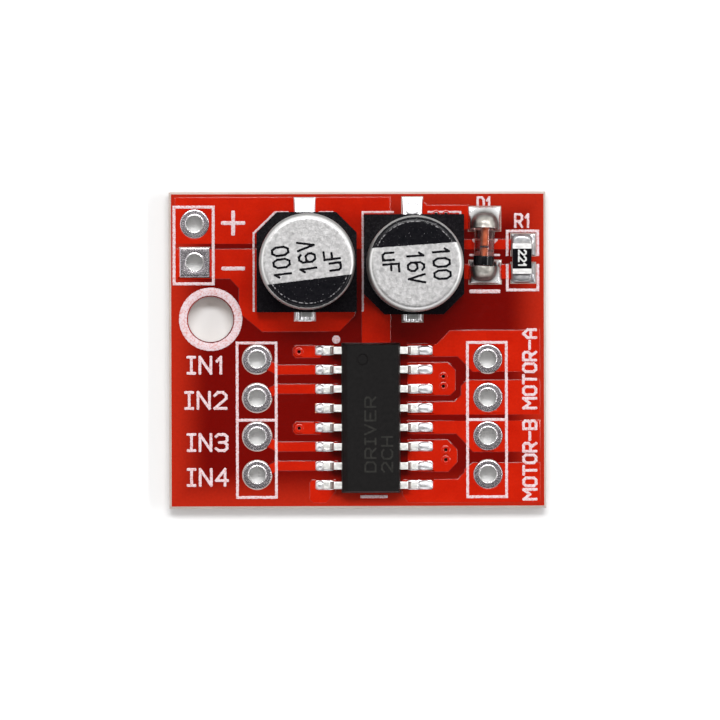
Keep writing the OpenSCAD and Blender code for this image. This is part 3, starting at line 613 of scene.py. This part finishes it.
def glass_material():
    """Glass with a warm red tint, partly its own and partly painted shade darkening the board seen through
    it, and slight waviness.
    """
    # the red tint is partly the glass's own colour and partly painted shade, darkening the view through the
    # glass
    material, tree, shader = start(
        "diode_glass", IOR=1.52, Transmission_Weight=1.0, Base_Color=(0.74, 0.40, 0.36, 1))
    wire(tree, shader, Roughness=spread(tree, grain(tree, 0.4, 2), 0.0, 0.06))
    relief(tree, shader, (grain(tree, 0.9, 1), 0.004))
    return material


def can_material():
    """Drawn aluminium: a mottled, lightly scratched top, a painted highlight as a bright band round the
    rolled rim, painted shade lower down the can's side, and faint drawing lines.
    """
    material, tree, shader = start("can_aluminium", Metallic=1.0)
    height = height_of(tree)
    fine = grain(tree, 0.09, 3)
    scratch = grain(tree, 0.14, 2, stretch=(2.4, 0.5, 1))
    lines = grain(tree, 0.12, 2, stretch=(1, 1, 0.06))
    top = clouds(tree, 0.28, 4, (0.34, 0.335, 0.335), (0.62, 0.61, 0.61), warp=0.5)
    flat = spread(tree, height, 0, 1, CAN_TOP - 0.05 * MM, CAN_TOP - 0.008 * MM, smooth=True)
    # painted highlight and shade: a bright colour round the upper rolled rim for the light it catches, and a
    # dark colour lower down the can's side for its shade
    rim_light_and_shade = spread(tree, height, 0, 1, CAN_TOP - 0.15 * MM, CAN_TOP - 0.05 * MM, smooth=True)
    side = blend(tree, rim_light_and_shade, (0.34, 0.335, 0.33), (0.86, 0.85, 0.84))
    wire(tree, shader, Base_Color=blend(tree, flat, side, top),
         Roughness=spread(tree, fine, 0.36, 0.50))
    relief(tree, shader, (fine, 0.008), (scratch, 0.007), (lines, 0.002))
    return material


MASK_TOP = mask_material("mask_top", 1.578 * MM, 1.597 * MM)
MASK_BOTTOM = mask_material("mask_bottom", 0.022 * MM, 0.003 * MM)
INK = ink_material()
LAMINATE = laminate_material()
FOIL = metal_material("copper_foil", (0.62, 0.27, 0.15), (0.80, 0.40, 0.25), (0.3, 0.5))
PAD_TIN = metal_material(
    "pad_tin", (0.48, 0.45, 0.48), (0.68, 0.65, 0.67), (0.26, 0.40), 0.22, ((0.35, 0.003), (0.08, 0.001)))
HOLE_TIN = hole_material()
LEAD_TIN = metal_material(
    "lead_tin", (0.80, 0.79, 0.78), (0.97, 0.96, 0.94), (0.30, 0.46), 0.2, ((0.2, 0.012), (0.08, 0.003)))
DOME_TIN = dome_material()
# Chip leads, with painted shade over the riser between the foot's top and the shoulder.
PIN_TIN = metal_material(
    "pin_tin", (0.86, 0.85, 0.82), (1.0, 0.99, 0.96), (0.30, 0.44), 0.2, ((0.2, 0.014), (0.08, 0.003)),
    (1.804 * MM, 2.61 * MM))
# Solder over the resistor's ends, coloured a darker grey than the other joints.
DARKER_SOLDER = metal_material(
    "darker_solder", (0.32, 0.32, 0.345), (0.52, 0.51, 0.50), (0.28, 0.42), 0.4, ((0.4, 0.003), (0.08, 0.0008)))
SOLDER = metal_material(
    "solder", (0.80, 0.79, 0.81), (0.96, 0.95, 0.96), (0.34, 0.46), 0.2, ((0.4, 0.003), (0.09, 0.001)))
CAN = can_material()
BASE = dull_material(
    "base_plastic", (0.003, 0.0022, 0.0035), (0.0055, 0.004, 0.006), (0.2, 0.32), 0.06, 0.001, shine=0.18)
RUBBER = dull_material("seal_rubber", (0.02, 0.02, 0.022), (0.035, 0.035, 0.037), (0.6, 0.85), 0.1, 0.01)
WINDING = dull_material(
    "winding_paper", (0.30, 0.24, 0.15), (0.46, 0.39, 0.27), (0.6, 0.8), 0.08, 0.01, stretch=(1, 1, 0.1))
BLACK_INK = dull_material(
    "black_ink", (0.003, 0.003, 0.004), (0.005, 0.005, 0.006), (0.12, 0.22), 0.08, 0.0008, shine=0.25)
COMPOUND = dull_material(
    "moulding_compound", (0.0035, 0.003, 0.003), (0.007, 0.006, 0.006), (0.42, 0.54), 0.05, 0.003,
    (0.016, 0.015, 0.014), shine=0.12)
PALE_MARK = dull_material(
    "pale_mark", (0.009, 0.0085, 0.007), (0.024, 0.023, 0.020), (0.5, 0.7), 0.05, 0.002, shine=0.2)
WHITE_MARK = dull_material("white_mark", (0.55, 0.55, 0.54), (0.75, 0.75, 0.74), (0.45, 0.65), 0.05, 0.002)
SILICON = dull_material("silicon", (0.09, 0.10, 0.12), (0.15, 0.16, 0.18), (0.12, 0.25), 0.08, 0.0005)
GOLD = metal_material("gold_wire", (0.85, 0.58, 0.22), (0.98, 0.74, 0.34), (0.15, 0.3))
FRAME_COPPER = metal_material("lead_frame", (0.66, 0.34, 0.2), (0.82, 0.46, 0.3), (0.25, 0.45))
STUD_COPPER = metal_material(
    "stud_copper", (0.78, 0.27, 0.12), (1.0, 0.52, 0.30), (0.5, 0.65), 0.3, ((0.15, 0.004),))
GLASS = glass_material()
CERAMIC = dull_material("ceramic", (0.72, 0.69, 0.64), (0.82, 0.80, 0.76), (0.4, 0.6), 0.06, 0.003)
FILM = dull_material("resistor_film", (0.05, 0.035, 0.028), (0.09, 0.06, 0.045), (0.4, 0.6), 0.06, 0.002)
GLAZE = dull_material(
    "black_glaze", (0.003, 0.0025, 0.004), (0.006, 0.005, 0.007), (0.14, 0.24), 0.07, 0.0006, shine=0.15)

BY_PREFIX = [
    ("board_core", LAMINATE), ("copper_", FOIL), ("vias", FOIL), ("solder_mask_top", MASK_TOP),
    ("solder_mask_bottom", MASK_BOTTOM), ("legend_top", INK), ("smd_pads", PAD_TIN), ("barrel_", HOLE_TIN),
    ("driver_body", COMPOUND), ("driver_leads", PIN_TIN), ("driver_die_paddle", FRAME_COPPER),
    ("driver_die", SILICON), ("driver_bond_wires", GOLD), ("driver_print", PALE_MARK),
    ("diode_glass", GLASS), ("diode_stud", STUD_COPPER), ("diode_die", SILICON), ("diode_band", BLACK_INK),
    ("resistor_ceramic", CERAMIC), ("resistor_film", FILM), ("resistor_glaze", GLAZE),
    ("resistor_end", LEAD_TIN), ("resistor_print", WHITE_MARK), ("solder_", SOLDER)]
BY_SUFFIX = [
    ("_base", BASE), ("_can", CAN), ("_seal", RUBBER), ("_winding", WINDING), ("_plus", LEAD_TIN),
    ("_minus", LEAD_TIN), ("_print", BLACK_INK)]


def finish_of(node):
    if node.startswith("capacitor_"):
        return next(m for suffix, m in BY_SUFFIX if node.endswith(suffix))
    return next(m for prefix, m in BY_PREFIX if node.startswith(prefix))


def paint_nodes():
    """Every CAD node gets its material, the hidden ones too."""
    for name, obj in NODES.items():
        obj.data.materials.clear()
        obj.data.materials.append(finish_of(name))


# ---------------------------------------------------------------- circuit board

def mask_skirt(top, bottom):
    """How the mask's surface falls over a copper edge: (inset, height) levels."""
    drop = top - bottom
    return [(d * MM, bottom + drop * t) for d, t in (
        (-0.085, 0), (-0.06, 0.16), (-0.035, 0.42), (-0.005, 0.74), (0.025, 0.93), (0.055, 1), (0.075, 1))]


def make_mask():
    """Solder mask on both faces: bare, raised over copper, and drawn up over the vias."""
    bare = plate(outlines("solder_mask_top", BARE_TOP), [(0, CORE_TOP), (0, BARE_TOP)])
    raised = plate(outlines("solder_mask_top", PAD_TOP), mask_skirt(PAD_TOP, COPPER_TOP))
    rings = [
        via_ring(loop) for loop in outlines("solder_mask_top", PAD_TOP + 0.015 * MM) if area_of(loop) > 0]
    piece(build("mask_top", *joined(bare, raised, *rings)), MASK_TOP, "solder_mask", "solder_mask_top")
    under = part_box("solder_mask_bottom")[0].z
    low = under + 0.025 * MM
    bare = plate(outlines("solder_mask_bottom", low, up=False), [(0, low), (0, under + UNDER_SKIN)])
    levels = [(d, 2 * under + 0.03 * MM - z) for d, z in mask_skirt(under + 0.03 * MM, under)]
    raised = plate(outlines("solder_mask_bottom", under, up=False), levels)
    piece(build("mask_bottom", *joined(bare, raised)), MASK_BOTTOM, "solder_mask", "solder_mask_bottom")


def via_ring(loop):
    """Mask drawn up over a via's ring and rounded into its hole."""
    at = sum(loop, Vector((0, 0))) / len(loop)
    outer = (loop[0] - at).length
    crest = PAD_TOP + 0.016 * MM
    section = [
        (VIA_R, CORE_TOP), (VIA_R, PAD_TOP - 0.01 * MM), (VIA_R + 0.02 * MM, PAD_TOP + 0.008 * MM),
        (VIA_R + 0.05 * MM, crest), (outer - 0.07 * MM, crest), (outer - 0.02 * MM, PAD_TOP + 0.006 * MM),
        (outer + 0.03 * MM, BARE_TOP + 0.004 * MM), (outer + 0.06 * MM, COPPER_TOP), (outer, CORE_TOP)]
    return lathe(section, at, 40)


def make_legend():
    """The printed legend, with the uneven edge of screen-printed ink."""
    loops = [ragged(loop, 0.08 * MM, 0.011 * MM) for loop in outlines("legend_top", INK_TOP)]
    levels = [(0, BARE_TOP - 0.002 * MM), (0, INK_TOP - 0.004 * MM), (0.006 * MM, INK_TOP)]
    piece(build("legend_ink", *plate(loops, levels)), INK, "legend_ink", "legend_top")


def make_pads():
    """The surface pads, with the chip's narrow ones rounded more at their corners."""
    loops = []
    for loop in outlines("smd_pads", PAD_TOP):
        height = max(p.y for p in loop) - min(p.y for p in loop)
        loops.append(rounded(loop, (0.24 if height < 0.9 * MM else 0.09) * MM, 5))
    levels = [
        (0, COPPER_TOP), (0, PAD_TOP - 0.012 * MM), (0.02 * MM, PAD_TOP - 0.003 * MM), (0.06 * MM, PAD_TOP)]
    piece(build("surface_pads", *plate(loops, levels)), PAD_TIN, "tinned_pad", "smd_pads")


def lift(x, y, z):
    """How much a terminal's lip and ring swell unevenly, where excess tin ran on one side."""
    if z < PAD_TOP - 0.001 * MM:
        return 0.0
    swell = max(0.0, noise.noise(Vector((math.atan2(y, x) * 1.2, 3, 0)))) * 0.012 * MM
    return min(swell, 0.03 * MM - (z - PAD_TOP)) if z > PAD_TOP else swell * 0.5


def make_barrel(node):
    """A plated hole: pads on both faces, a bright rolled lip round the upper mouth.

    The square one's round collar stays a hair inside its square plates' faces.
    """
    low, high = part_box(node)
    at, half = (low + high) / 2, (high.x - low.x) / 2
    under = low.z + UNDER_SKIN
    square = node == "barrel_supply_minus"
    pad = DRILL_R + 0.24 * MM if square else half
    dip = 0.0015 * MM if square else 0.0
    ring_z = PAD_TOP - dip
    section = [
        (HOLE_R, low.z + 0.02 * MM), (HOLE_R, high.z - 0.06 * MM),
        *arc((HOLE_R + 0.028 * MM, high.z - 0.028 * MM), 0.028 * MM, 180, 20, 7),
        (HOLE_R + 0.065 * MM, PAD_TOP + 0.005 * MM), (HOLE_R + 0.085 * MM, PAD_TOP + 0.001 * MM),
        (HOLE_R + 0.1 * MM, ring_z), (HOLE_R + 0.12 * MM, ring_z), (pad - 0.12 * MM, ring_z),
        (pad - 0.09 * MM, ring_z), (pad - 0.04 * MM, PAD_TOP - 0.004 * MM),
        (pad - 0.008 * MM, PAD_TOP - 0.016 * MM), (pad, PAD_TOP - 0.03 * MM), (pad, CORE_TOP),
        (DRILL_R, CORE_TOP), (DRILL_R, under), (pad, under), (pad, low.z + 0.02 * MM),
        (pad - 0.02 * MM, low.z + dip), (HOLE_R + 0.02 * MM, low.z + dip)]
    verts, faces = lathe(section, at, 80)
    verts = [(x, y, z + lift(x - at.x, y - at.y, z)) for x, y, z in verts]
    parts = [(verts, faces)]
    if square:
        ring = [Vector((at.x + DRILL_R * math.cos(a), at.y + DRILL_R * math.sin(a)))
                for a in (-2 * math.pi * k / 48 for k in range(48))]
        corners = [Vector((at.x + sx * half, at.y + sy * half))
                   for sx, sy in ((-1, -1), (1, -1), (1, 1), (-1, 1))]
        for z0, z1 in ((CORE_TOP, PAD_TOP), (under, low.z)):
            step = (z1 - z0) / 10
            levels = [(0, z0), (0, z1 - 4 * step), (0.02 * MM, z1 - step), (0.07 * MM, z1)]
            if z1 < z0:
                levels = levels[::-1]
            parts.append(plate([rounded(corners, 0.1 * MM), ring], levels))
    piece(build(node.replace("barrel", "terminal"), *joined(*parts)), HOLE_TIN, "tinned_hole", node)


# ---------------------------------------------------------------- capacitors

def can_height(r):
    """Height of the can's upper surface at a distance from its axis."""
    over = max(0.0, r - (CAN_R - ROLL))
    return CAN_TOP - ROLL + math.sqrt(max(0.0, ROLL ** 2 - over ** 2))


def make_can(n):
    """A thin-walled can with a bead above its mouth and a rolled upper edge."""
    node = f"capacitor_{n}_can"
    bead = CAN_MOUTH + 1.05 * MM
    inner, shelf = CAN_R - CAN_WALL, CAN_TOP - CAN_WALL
    section = (
        [(CAN_R - 0.03 * MM, CAN_MOUTH), (CAN_R, CAN_MOUTH + 0.03 * MM)]
        + arc((CAN_R + 0.08 * MM, bead), 0.28 * MM, 253, 107, 14)
        + [(CAN_R, bead + 0.45 * MM), (CAN_R, CAN_TOP - ROLL - 0.3 * MM)]
        + arc((CAN_R - ROLL, CAN_TOP - ROLL), ROLL, 0, 90, 12)
        + [(CAN_R - ROLL - 0.1 * MM, CAN_TOP), (CAN_R * 0.5, CAN_TOP), (0, CAN_TOP), (0, shelf)]
        + [(inner - 0.2 * MM, shelf), (inner, shelf - 0.2 * MM)]
        + [(inner, bead + 0.35 * MM), (inner - 0.2 * MM, bead + 0.15 * MM)]
        + [(inner - 0.2 * MM, bead - 0.15 * MM), (inner, bead - 0.35 * MM), (inner, CAN_MOUTH)])
    piece(build(f"can_{n}", *lathe(section, centre(node), 144)), CAN, "capacitor_can", node)


def make_can_print(n, turn, side):
    """Ink on the can: a filled segment over the rolled edge, and stroke figures on the flat top."""
    node = f"capacitor_{n}_print"
    at = centre(f"capacitor_{n}_can")
    chord, reach = 1.2 * MM, CAN_R - 0.11 * MM
    fall = math.acos(chord / reach)
    steps, rings = 160, [0, 1.6, 2.1, 2.5, 2.72, 2.82, 2.88, 2.93, 2.97, 3.01, 3.03]
    verts, faces = [], []
    for skin in (INK_LIFT, -INK_LIFT):
        for k in range(steps + 1):
            a = -fall + 2 * fall * k / steps
            across = math.tan(a) * 1.2
            uneven = 0.03 * noise.noise(Vector((across * 4, n, 0)))
            uneven += 0.02 * noise.noise(Vector((across * 11, n, 5)))
            first = min((chord + uneven * MM) / math.cos(a), reach * 0.999)
            for ring in rings:
                patchy = 1 + 0.006 * noise.noise(Vector((a * 14, n, 2))) * (ring / 3) ** 4
                r = max(first, ring * MM * patchy)
                verts.append((r * math.cos(a), r * math.sin(a), can_height(r) + skin))
    n_r, layer = len(rings), (steps + 1) * len(rings)
    for k in range(steps):
        for i in range(n_r - 1):
            quad = (k * n_r + i, k * n_r + i + 1, (k + 1) * n_r + i + 1, (k + 1) * n_r + i)
            faces += [quad, tuple(layer + q for q in quad[::-1])]
        for i in (0, n_r - 1):
            faces.append((k * n_r + i, (k + 1) * n_r + i, layer + (k + 1) * n_r + i, layer + k * n_r + i))
    spin = Matrix.Rotation(math.radians(turn + side - 90), 3, "Z")
    verts = [tuple(spin @ Vector(v) + Vector((at.x, at.y, 0))) for v in verts]
    figures = [loop for loop in outlines(node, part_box(node)[1].z) if abs(area_of(loop)) < 3 * MM * MM]
    figures = [ragged(loop, 0.08 * MM, 0.01 * MM) for loop in figures]
    marks = plate(figures, [(0, CAN_TOP - INK_LIFT), (0, CAN_TOP + INK_LIFT)])
    piece(build(f"can_ink_{n}", *joined((verts, faces), marks)), can_ink_material(n), "black_ink", node)


def tab_joint(n, side):
    """Solder over a capacitor's pad and round its tab: deep at the tab, thin at the pad's outer edge."""
    at = centre(f"capacitor_{n}_base")
    tip = (at.y + side * 3.6 * MM) / MM
    low, high = pad_under(at.x, at.y + side * 3.35 * MM)
    middle = (low[0] + high[0]) / 2 / MM
    long = side > 0

    def thickness(x, y):
        out = side * (y - tip)
        if long and n == 1:
            return max(0.03, 0.21 - 0.16 * out - 0.10 * abs(x - middle) ** 2)
        if long:
            return max(0.04, 0.15 - 0.16 * out) + dome(x - middle, y - tip - 0.08, (0.46, 0.42, 0.08))
        corner = abs(abs(x - middle) - 0.58)
        return 0.035 + max(0.0, 0.13 - 0.5 * corner) + 0.02 * math.sin(x * 23)
    return heap(low, high, thickness, PAD_TOP)


def make_capacitors():
    """Both capacitors; the second one stands the other way round."""
    for n, turn, side in ((1, 7, 0), (2, 4, 180)):
        c = f"capacitor_{n}_"
        make_can(n)
        make_can_print(n, turn, side)
        piece(softened(c + "base", 0.07 * MM), BASE, "capacitor_base", c + "base")
        for end in ("lead_plus", "lead_minus"):
            piece(softened(c + end, 0.03 * MM), LEAD_TIN, "tinned_lead", c + end)
        node = f"solder_capacitor_{n}"
        piece(build(node, *joined(*[tab_joint(n, s) for s in (-1, 1)]), crease=60), SOLDER, "solder", node)


# ---------------------------------------------------------------- driver chip

def driver_mesh():
    """The moulded body: drafted sides, a broad bevel along the pin 1 side and a round dimple in the top."""
    low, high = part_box("driver_body")
    mid, hx, hy = (low + high) / 2, (high.x - low.x) / 2, (high.y - low.y) / 2
    part, draft, ridge = mid.z + 0.05 * MM, 0.12 * MM, 0.38 * MM

    def ring(z, left, right, end, trim=0.0):
        x0, x1, dy = mid.x - left + trim, mid.x + right - trim, end - trim
        y0, y1 = mid.y - dy, mid.y + dy
        corners = [Vector(c) for c in ((x0, y0), (x1, y0), (x1, y1), (x0, y1))]
        return [(p.x, p.y, z) for p in rounded(corners, 0.1 * MM, 4)]

    rings = [ring(low.z, hx - draft, hx - draft, hy - draft), ring(part, hx, hx, hy)]
    for down, trim in ((0.38, 0), (0.2, 0), (0.06, 0.002), (0.022, 0.013), (0, 0.04)):
        up = 1 - down * MM / (high.z - part)
        left = hx - 0.6 * draft - (ridge - 0.6 * draft) * (1 - down * MM / ridge)
        rings.append(ring(high.z - down * MM, left, hx - draft * up, hy - draft * up, trim * MM))
    n = len(rings[0])
    verts = [p for r in rings for p in r]
    faces = [(k * n + i, k * n + (i + 1) % n, (k + 1) * n + (i + 1) % n, (k + 1) * n + i)
             for k in range(len(rings) - 1) for i in range(n)]
    at = Vector((mid.x - hx + 1.4 * MM, high.y - 1.1 * MM))
    m = 48
    turns = [2 * math.pi * k / m for k in range(m)]
    circles = [[Vector((at.x + r * MM * math.cos(t), at.y + r * MM * math.sin(t))) for t in turns]
               for r in (0.385, 0.36, 0.345, 0.3)]
    bowl = [(p.x, p.y, high.z - d * MM) for c, d in zip(circles, (0, 0.015, 0.075, 0.1)) for p in c]
    sides = [(k * m + i, (k + 1) * m + i, (k + 1) * m + (i + 1) % m, k * m + (i + 1) % m)
             for k in range(len(circles) - 1) for i in range(m)]
    roof = cap([[Vector(p[:2]) for p in rings[-1]], circles[0]], high.z, True)
    floor = cap([[Vector(p[:2]) for p in rings[0]]], low.z, False)
    bottom = cap([circles[-1]], high.z - 0.1 * MM, True)
    shell = joined((verts, faces), (bowl, sides), roof, floor, bottom)
    return flattened(build("driver_mould", *shell, crease=30))


def make_driver():
    """The chip's moulding, both rows of leads, and a blob and a thin fillet of solder at each."""
    piece(driver_mesh(), COMPOUND, "moulding_compound", "driver_body")
    for side, sign in (("left", -1), ("right", 1)):
        node = "driver_leads_" + side
        piece(softened(node, 0.085 * MM, segments=4), PIN_TIN, "tinned_lead", node)
        low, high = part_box(node)
        tip = low.x if sign < 0 else high.x
        lumps = []
        for i in range(PINS):
            y = low.y + PIN_WIDTH / 2 + i * PIN_PITCH
            pad = pad_under(tip + sign * 0.2 * MM, y)
            outer = pad[0][0] if sign < 0 else pad[1][0]
            inner = tip - sign * 0.07 * MM
            mid, half = (inner + outer) / 2, abs(outer - inner) / 2
            lumps.append(lump(
                (mid, y), (half * rng.uniform(0.97, 1.0), PIN_SOLDER), rng.uniform(0.17, 0.2) * MM, PAD_TOP,
                square=2.4, crown=2.0, wobble=0.02, tilt=(-0.35 if sign > 0 else 0, 0.1)))
            lumps.append(lump(
                (tip - sign * 0.3 * MM, y), (0.45 * MM, PIN_SOLDER), 0.07 * MM, PAD_TOP,
                square=4, crown=2.5, wobble=0.03))
        name = "solder_driver_" + side
        piece(build(name, *joined(*lumps)), SOLDER, "solder", name)


# ---------------------------------------------------------------- diode

def along_diode(section, segments=64):
    """A section of (radius, place along the diode) turned about the diode's axis."""
    upper, lower = centre("diode_stud_upper"), centre("diode_stud_lower")
    middle, run = (upper + lower) / 2, (upper - lower).normalized()
    basis = Matrix((Vector((run.y, -run.x, 0)), Vector((0, 0, 1)), run)).transposed()
    verts, faces = lathe(section, (0, 0), segments)
    return [tuple(middle + basis @ Vector(v)) for v in verts], faces


def diode_joint(end, side):
    """Solder over one end of the diode: a tall rounded dome with a skirt running out over the pad."""
    face = (end.y - side * 0.24 * MM) / MM
    low, high = pad_under(end.x, end.y)
    middle = end.x / MM

    def thickness(x, y):
        dx, dy = x - middle, side * (y - face)
        if dy < 0:
            ridge = max(0.0, 1 - ((abs(dx) - 0.9) / 0.2) ** 2)
            return 0.05 + 0.28 * ridge * max(0.0, 1 + dy / 0.35)
        far = max(1.0, math.hypot(dx / 0.84, dy / 0.96))
        skirt = 0.05 + 0.34 * max(0.0, 1 - (far - 1) / 0.8) ** 1.6
        return math.hypot(dome(dx, dy, (0.86, 0.98, 1.58), 2.8), skirt)
    return heap(low, high, thickness, PAD_TOP, 0.03)


def make_diode():
    """The diode: glass, painted band, an end cap and a copper stud at each end, chip and solder."""
    glass_r, slug_r, cap_r = 0.66 * MM, 0.19 * MM, 0.75 * MM
    half, cap_l = 1.75 * MM, 0.48 * MM
    end = half - cap_l
    glass = (
        arc((glass_r - 0.08 * MM, end - 0.08 * MM), 0.08 * MM, 0, 90, 5) + [(0, end), (0, -end)]
        + arc((glass_r - 0.08 * MM, -end + 0.08 * MM), 0.08 * MM, -90, 0, 5)
        + [(glass_r * 1.005, -end / 2), (glass_r * 1.01, 0), (glass_r * 1.005, end / 2)])
    piece(build("diode_glass_body", *along_diode(glass)), GLASS, "diode_glass", "diode_glass")
    band = [(glass_r + 0.018 * MM, -end + 0.06 * MM), (glass_r + 0.024 * MM, -end + 0.1 * MM),
            (glass_r + 0.024 * MM, -end + 0.6 * MM), (glass_r + 0.016 * MM, -end + 0.65 * MM),
            (glass_r - 0.01 * MM, -end + 0.65 * MM), (glass_r - 0.01 * MM, -end + 0.06 * MM)]
    piece(build("diode_paint_band", *along_diode(band)), BLACK_INK, "black_ink", "diode_band")
    for name, s in (("upper", 1), ("lower", -1)):
        cap_section = [
            (0, s * half), (cap_r - 0.14 * MM, s * half), (cap_r - 0.05 * MM, s * (half - 0.04 * MM)),
            (cap_r, s * (half - 0.13 * MM)), (cap_r, s * (end + 0.06 * MM)),
            (cap_r - 0.04 * MM, s * (end + 0.01 * MM)), (glass_r, s * end), (0, s * end)]
        slug = [(0, s * 0.06 * MM), (slug_r - 0.04 * MM, s * 0.06 * MM), (slug_r, s * 0.1 * MM),
                (slug_r, s * end), (0, s * end)]
        node = "diode_stud_" + name
        piece(build("diode_cap_" + name, *along_diode(cap_section)), LEAD_TIN, "tinned_lead", node)
        piece(build("diode_slug_" + name, *along_diode(slug)), STUD_COPPER, "copper_stud", node)
    thick = 0.05 * MM
    chip = [(0, -thick), (slug_r, -thick), (slug_r + 0.02 * MM, 0), (slug_r, thick), (0, thick)]
    piece(build("diode_chip", *along_diode(chip)), SILICON, "silicon", "diode_die")
    middle = centre("diode_glass")
    ends = [(Vector((middle.x + s * 0.045 * MM, middle.y + s * (half - cap_l / 2))), s) for s in (-1, 1)]
    piece(build("solder_diode", *joined(*[diode_joint(e, s) for e, s in ends]), crease=60),
          DOME_TIN, "solder", "solder_diode")


# ---------------------------------------------------------------- resistor

def resistor_joint(at, side):
    """Solder from the resistor's end out over its pad."""
    face, middle = at.y / MM + side * 1.0, at.x / MM
    low, high = pad_under(at.x, at.y + side * 1.0 * MM)

    def thickness(x, y):
        dx, dy = x - middle, side * (y - face)
        if dy < 0:
            return 0.04 + 0.1 * max(0.0, 1 - ((abs(dx) - 0.72) / 0.12) ** 2)
        far = max(1.0, math.hypot(dx / 0.6, dy / 0.48))
        skirt = 0.04 + 0.12 * max(0.0, 1 - (far - 1) / 0.6) ** 1.5
        return math.hypot(dome(dx, dy, (0.64, 0.56, 0.2), 5), skirt)
    return heap(low, high, thickness, PAD_TOP, 0.03)


def make_resistor():
    """The resistor: ceramic, glaze, printed code, an end cap and a solder joint at each end."""
    piece(softened("resistor_ceramic", 0.03 * MM), CERAMIC, "ceramic", "resistor_ceramic")
    piece(softened("resistor_glaze", 0.018 * MM), GLAZE, "black_glaze", "resistor_glaze")
    for end in ("upper", "lower"):
        piece(softened("resistor_end_" + end, 0.035 * MM), LEAD_TIN, "tinned_lead", "resistor_end_" + end)
    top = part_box("resistor_glaze")[1].z
    loops = outlines("resistor_print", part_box("resistor_print")[1].z)
    piece(build("resistor_mark", *plate(loops, [(0, top - 0.004 * MM), (0, top + 0.006 * MM)])),
          WHITE_MARK, "white_mark", "resistor_print")
    at = centre("resistor_ceramic")
    piece(build("solder_resistor", *joined(*[resistor_joint(at, s) for s in (-1, 1)]), crease=60),
          DARKER_SOLDER, "solder", "solder_resistor")


# ---------------------------------------------------------------- table, light and camera

def make_floor():
    """A white table under the board, which isn't part of it."""
    material, tree, shader = start("table_white", IOR=1.4)
    tint = clouds(tree, 40, 2, (0.84, 0.84, 0.84), (0.87, 0.87, 0.87))
    wire(tree, shader, Base_Color=tint, Roughness=spread(tree, grain(tree, 15, 2), 0.7, 0.85))
    half, z = 3.0, cad_box[0].z - 0.02 * MM
    mesh = bpy.data.meshes.new("table")
    corners = [(-half, -half, z), (half, -half, z), (half, half, z), (-half, half, z)]
    mesh.from_pydata(corners, [], [(0, 1, 2, 3)])
    mesh.materials.append(material)
    floor = bpy.data.objects.new("table", mesh)
    scene.collection.objects.link(floor)


def softbox(name, azimuth, elevation, size, power, colour=(1, 1, 1)):
    """A rectangular lamp aimed at the board from 0.7 m; azimuth 0 is +X and 90 is +Y."""
    a, e = math.radians(azimuth), math.radians(elevation)
    away = Vector((math.cos(a) * math.cos(e), math.sin(a) * math.cos(e), math.sin(e)))
    lamp = bpy.data.lights.new(name, "AREA")
    lamp.shape, lamp.size, lamp.size_y = "RECTANGLE", size[0], size[1]
    lamp.energy, lamp.color = power, colour
    obj = bpy.data.objects.new(name, lamp)
    obj.location = away * 0.7
    obj.rotation_euler = (-away).to_track_quat("-Z", "Y").to_euler()
    scene.collection.objects.link(obj)


def make_light():
    """Four soft lamps in a pale room that is dim overhead, where flat surfaces mirror it."""
    softbox("key", 87, 66, (0.42, 0.14), 3.1)
    softbox("right", 2, 46, (0.5, 0.05), 1.0, (0.98, 0.99, 1.0))
    softbox("left", 178, 42, (0.4, 0.3), 0.4, (1.0, 0.99, 0.98))
    softbox("front", 270, 38, (0.4, 0.25), 0.45, (0.95, 0.96, 1.0))
    world = bpy.data.worlds.new("room")
    scene.world = world
    world.use_nodes = True
    tree = world.node_tree
    towards = add(tree, "ShaderNodeTexCoord").outputs["Generated"]
    gap = Vector((0, -0.24, 0.97)).normalized()
    close = add(tree, "ShaderNodeVectorMath", {0: towards, 1: gap}, operation="DOT_PRODUCT")
    shade = spread(tree, close.outputs["Value"], 0.66, 0.06, 0.74, 0.92, smooth=True)
    tree.links.new(grey(tree, shade), tree.nodes["Background"].inputs["Color"])


def make_camera():
    """A long lens half a metre above the board, a degree off the vertical."""
    distance, tilt, roll = 0.5, math.radians(1.1), math.radians(0.15)
    aim = Vector((0.15 * MM, -0.66 * MM, PAD_TOP))
    camera = bpy.data.cameras.new("camera")
    camera.lens, camera.sensor_width = 378.75, 36
    camera.clip_start, camera.clip_end = 0.05, 10
    obj = bpy.data.objects.new("camera", camera)
    back = Vector((-math.sin(tilt), 0, math.cos(tilt)))
    right = Vector((math.cos(tilt), 0, math.sin(tilt)))
    turn = Matrix((right, back.cross(right), back)).transposed() @ Matrix.Rotation(-roll, 3, "Z")
    obj.matrix_world = Matrix.Translation(aim + back * distance) @ turn.to_4x4()
    scene.collection.objects.link(obj)
    scene.camera = obj


paint_nodes()
make_mask()
make_legend()
make_pads()
for barrel in sorted(n for n in NODES if n.startswith("barrel_")):
    make_barrel(barrel)
make_capacitors()
make_driver()
make_diode()
make_resistor()
make_floor()
make_light()
make_camera()
scene.view_settings.view_transform = "Standard"
